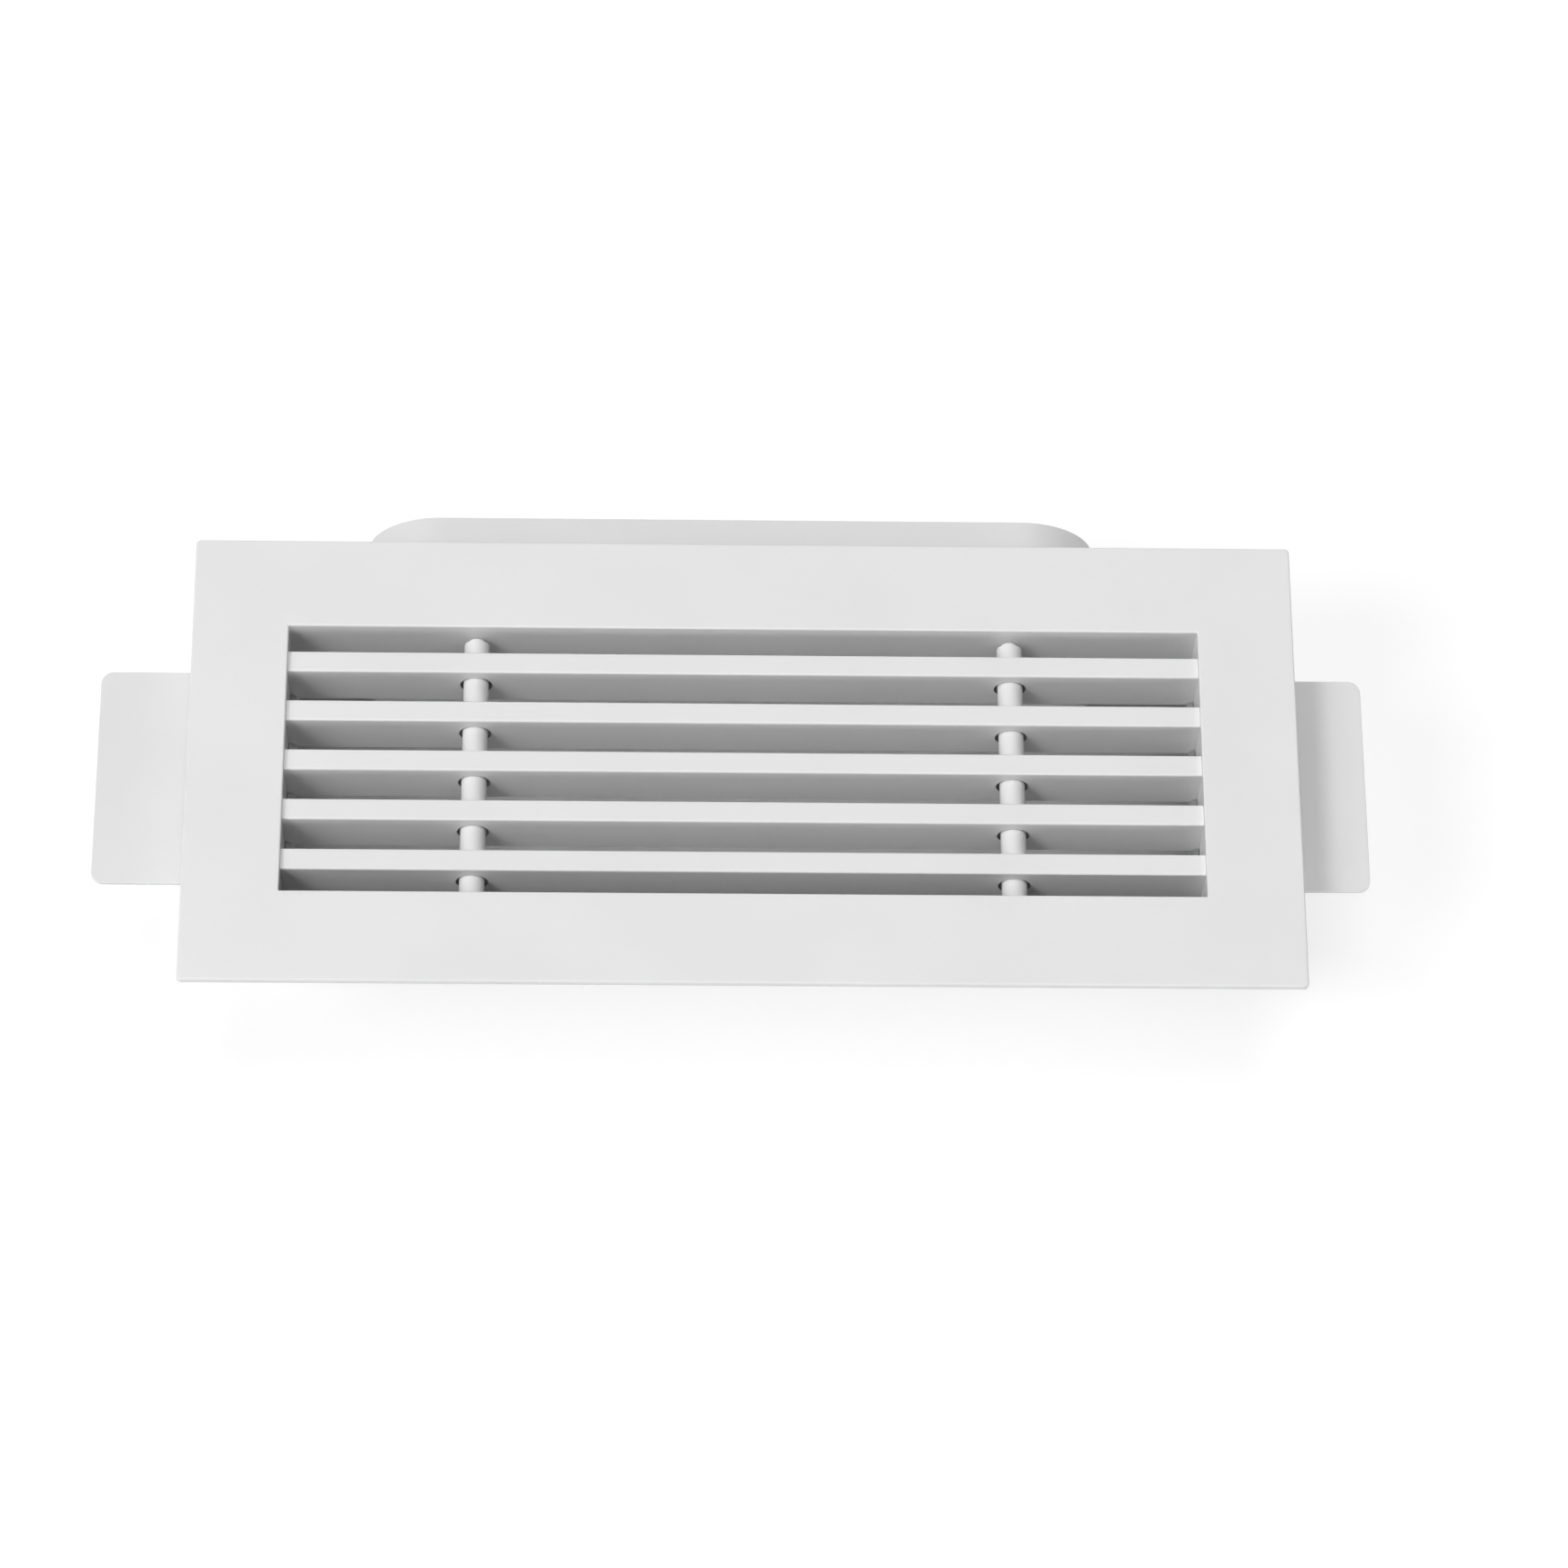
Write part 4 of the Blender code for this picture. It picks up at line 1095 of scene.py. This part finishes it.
# The floor's colour to the light, and its colour and glow to the camera.
FLOOR_PALE = 0.85
FLOOR_SHOWN = 0.30
FLOOR_GLOW = 0.76

# Light from all round, as it falls on the object.
WORLD_FILL = 0.02
# Lamps this far from straight up only fill: they leave no shine on the flat faces.
LOW_LAMP = 45


def make_camera():
    """The photograph's camera: it looks down on the face, tilted about 25 degrees."""
    turn = Matrix.Identity(3)
    for axis, angle in CAMERA_TURNS:
        turn = turn @ Matrix.Rotation(math.radians(angle), 3, axis)
    to_grille = Vector(CAMERA_WAY) * FLANGE_W
    rows = [Vector((row[0], -row[1], -row[2])) for row in turn]
    here = turn.transposed() @ -to_grille
    place = Vector((here[0] + GRILLE_X, -here[1], FACE_Z - here[2]))
    basis = Matrix((rows[0], -rows[1], -rows[2])).transposed().to_4x4()
    camera = bpy.data.cameras.new("camera")
    camera.lens = FOCUS_PX / FRAME_PX * SENSOR_MM
    camera.sensor_width = SENSOR_MM
    camera.clip_start = 0.01
    camera.clip_end = 100
    made = bpy.data.objects.new("camera", camera)
    made.matrix_world = Matrix.Translation(place) @ basis
    bpy.context.scene.collection.objects.link(made)
    bpy.context.scene.camera = made


def seen_directly(tree):
    """1 where the camera, a mirror or glass sees a surface, and 0 where light falls on it."""
    rays = tree.nodes.new("ShaderNodeLightPath")
    total = rays.outputs["Is Camera Ray"]
    for name in ("Is Glossy Ray", "Is Transmission Ray"):
        node = tree.nodes.new("ShaderNodeMath")
        node.operation = "MAXIMUM"
        tree.links.new(total, node.inputs[0])
        tree.links.new(rays.outputs[name], node.inputs[1])
        total = node.outputs[0]
    return total


def grey(level):
    return (level, level, level, 1)


def make_floor():
    bm = bmesh.new()
    bmesh.ops.create_grid(bm, x_segments=1, y_segments=1, size=FLOOR_HALF)
    floor = loose("floor", bm)
    floor.data.transform(Matrix.Translation((0, 0, CAD_BOX[0][2] - FLOOR_GAP)))
    coat = bpy.data.materials.new("pale_floor")
    coat.use_nodes = True
    tree = coat.node_tree
    tree.nodes.remove(tree.nodes["Principled BSDF"])
    plain = tree.nodes.new("ShaderNodeBsdfDiffuse")
    plain.inputs["Color"].default_value = grey(FLOOR_PALE)
    shown = tree.nodes.new("ShaderNodeBsdfDiffuse")
    shown.inputs["Color"].default_value = grey(FLOOR_SHOWN)
    glow = tree.nodes.new("ShaderNodeEmission")
    glow.inputs["Strength"].default_value = FLOOR_GLOW
    both = tree.nodes.new("ShaderNodeAddShader")
    choice = tree.nodes.new("ShaderNodeMixShader")
    tree.links.new(shown.outputs[0], both.inputs[0])
    tree.links.new(glow.outputs[0], both.inputs[1])
    tree.links.new(seen_directly(tree), choice.inputs[0])
    tree.links.new(plain.outputs[0], choice.inputs[1])
    tree.links.new(both.outputs[0], choice.inputs[2])
    tree.links.new(choice.outputs[0], tree.nodes["Material Output"].inputs["Surface"])
    floor.data.materials.append(coat)


def towards(tilt, turn):
    """A direction: tilt from straight up, turn from +X towards +Y, both in degrees."""
    tilt, turn = math.radians(tilt), math.radians(turn)
    return Vector((math.sin(tilt) * math.cos(turn), math.sin(tilt) * math.sin(turn), math.cos(tilt)))


def lamp(name, tilt, turn, strength, spread):
    """A soft lamp far off, with its spread in degrees."""
    light = bpy.data.lights.new(name, "SUN")
    light.energy = strength
    light.angle = math.radians(spread)
    made = bpy.data.objects.new(name, light)
    made.rotation_euler = towards(tilt, turn).to_track_quat("Z", "Y").to_euler()
    made.visible_glossy = tilt < LOW_LAMP
    bpy.context.scene.collection.objects.link(made)


def softbox(name, tilt, turn, watts, distance, size):
    """A round softbox that faces the grille."""
    light = bpy.data.lights.new(name, "AREA")
    light.shape = "DISK"
    light.size = size
    light.energy = watts
    made = bpy.data.objects.new(name, light)
    made.location = Vector((0, 0, FACE_Z)) + towards(tilt, turn) * distance
    made.rotation_euler = towards(tilt, turn).to_track_quat("Z", "Y").to_euler()
    bpy.context.scene.collection.objects.link(made)


def make_light():
    lamp("key_left", 36, 210, strength=0.86, spread=18)
    softbox("left_softbox", 36, 210, watts=3.0, distance=1.6, size=0.507)
    lamp("overhead", 0, 0, strength=1.13, spread=20)
    lamp("front_left", 46, 200, strength=0.27, spread=18)
    lamp("low_key", 60, 210, strength=0.41, spread=18)
    lamp("upper_edge", 52, 90, strength=0.30, spread=28)
    lamp("low_upper", 76, 90, strength=0.28, spread=24)
    lamp("low_front", 76, 270, strength=0.30, spread=24)
    lamp("low_right", 76, 315, strength=0.30, spread=24)
    lamp("grazing_right", 86, 315, strength=0.25, spread=8)
    world = bpy.data.worlds.new("studio")
    bpy.context.scene.world = world
    world.use_nodes = True
    tree = world.node_tree
    shown = tree.nodes["Background"]
    shown.inputs["Strength"].default_value = 1.0
    shown.inputs["Color"].default_value = grey(1)
    fill = tree.nodes.new("ShaderNodeBackground")
    fill.inputs["Color"].default_value = grey(1)
    fill.inputs["Strength"].default_value = WORLD_FILL
    choice = tree.nodes.new("ShaderNodeMixShader")
    tree.links.new(seen_directly(tree), choice.inputs[0])
    tree.links.new(fill.outputs[0], choice.inputs[1])
    tree.links.new(shown.outputs[0], choice.inputs[2])
    tree.links.new(choice.outputs[0], tree.nodes["World Output"].inputs["Surface"])


make_frame()
make_bars()
make_rods()
make_fasteners()
make_combs()
make_clips()
make_gasket()
make_plenum()
make_brackets()
make_spigot()
make_seal()
make_camera()
make_floor()
make_light()
bpy.context.scene.view_settings.view_transform = "Standard"
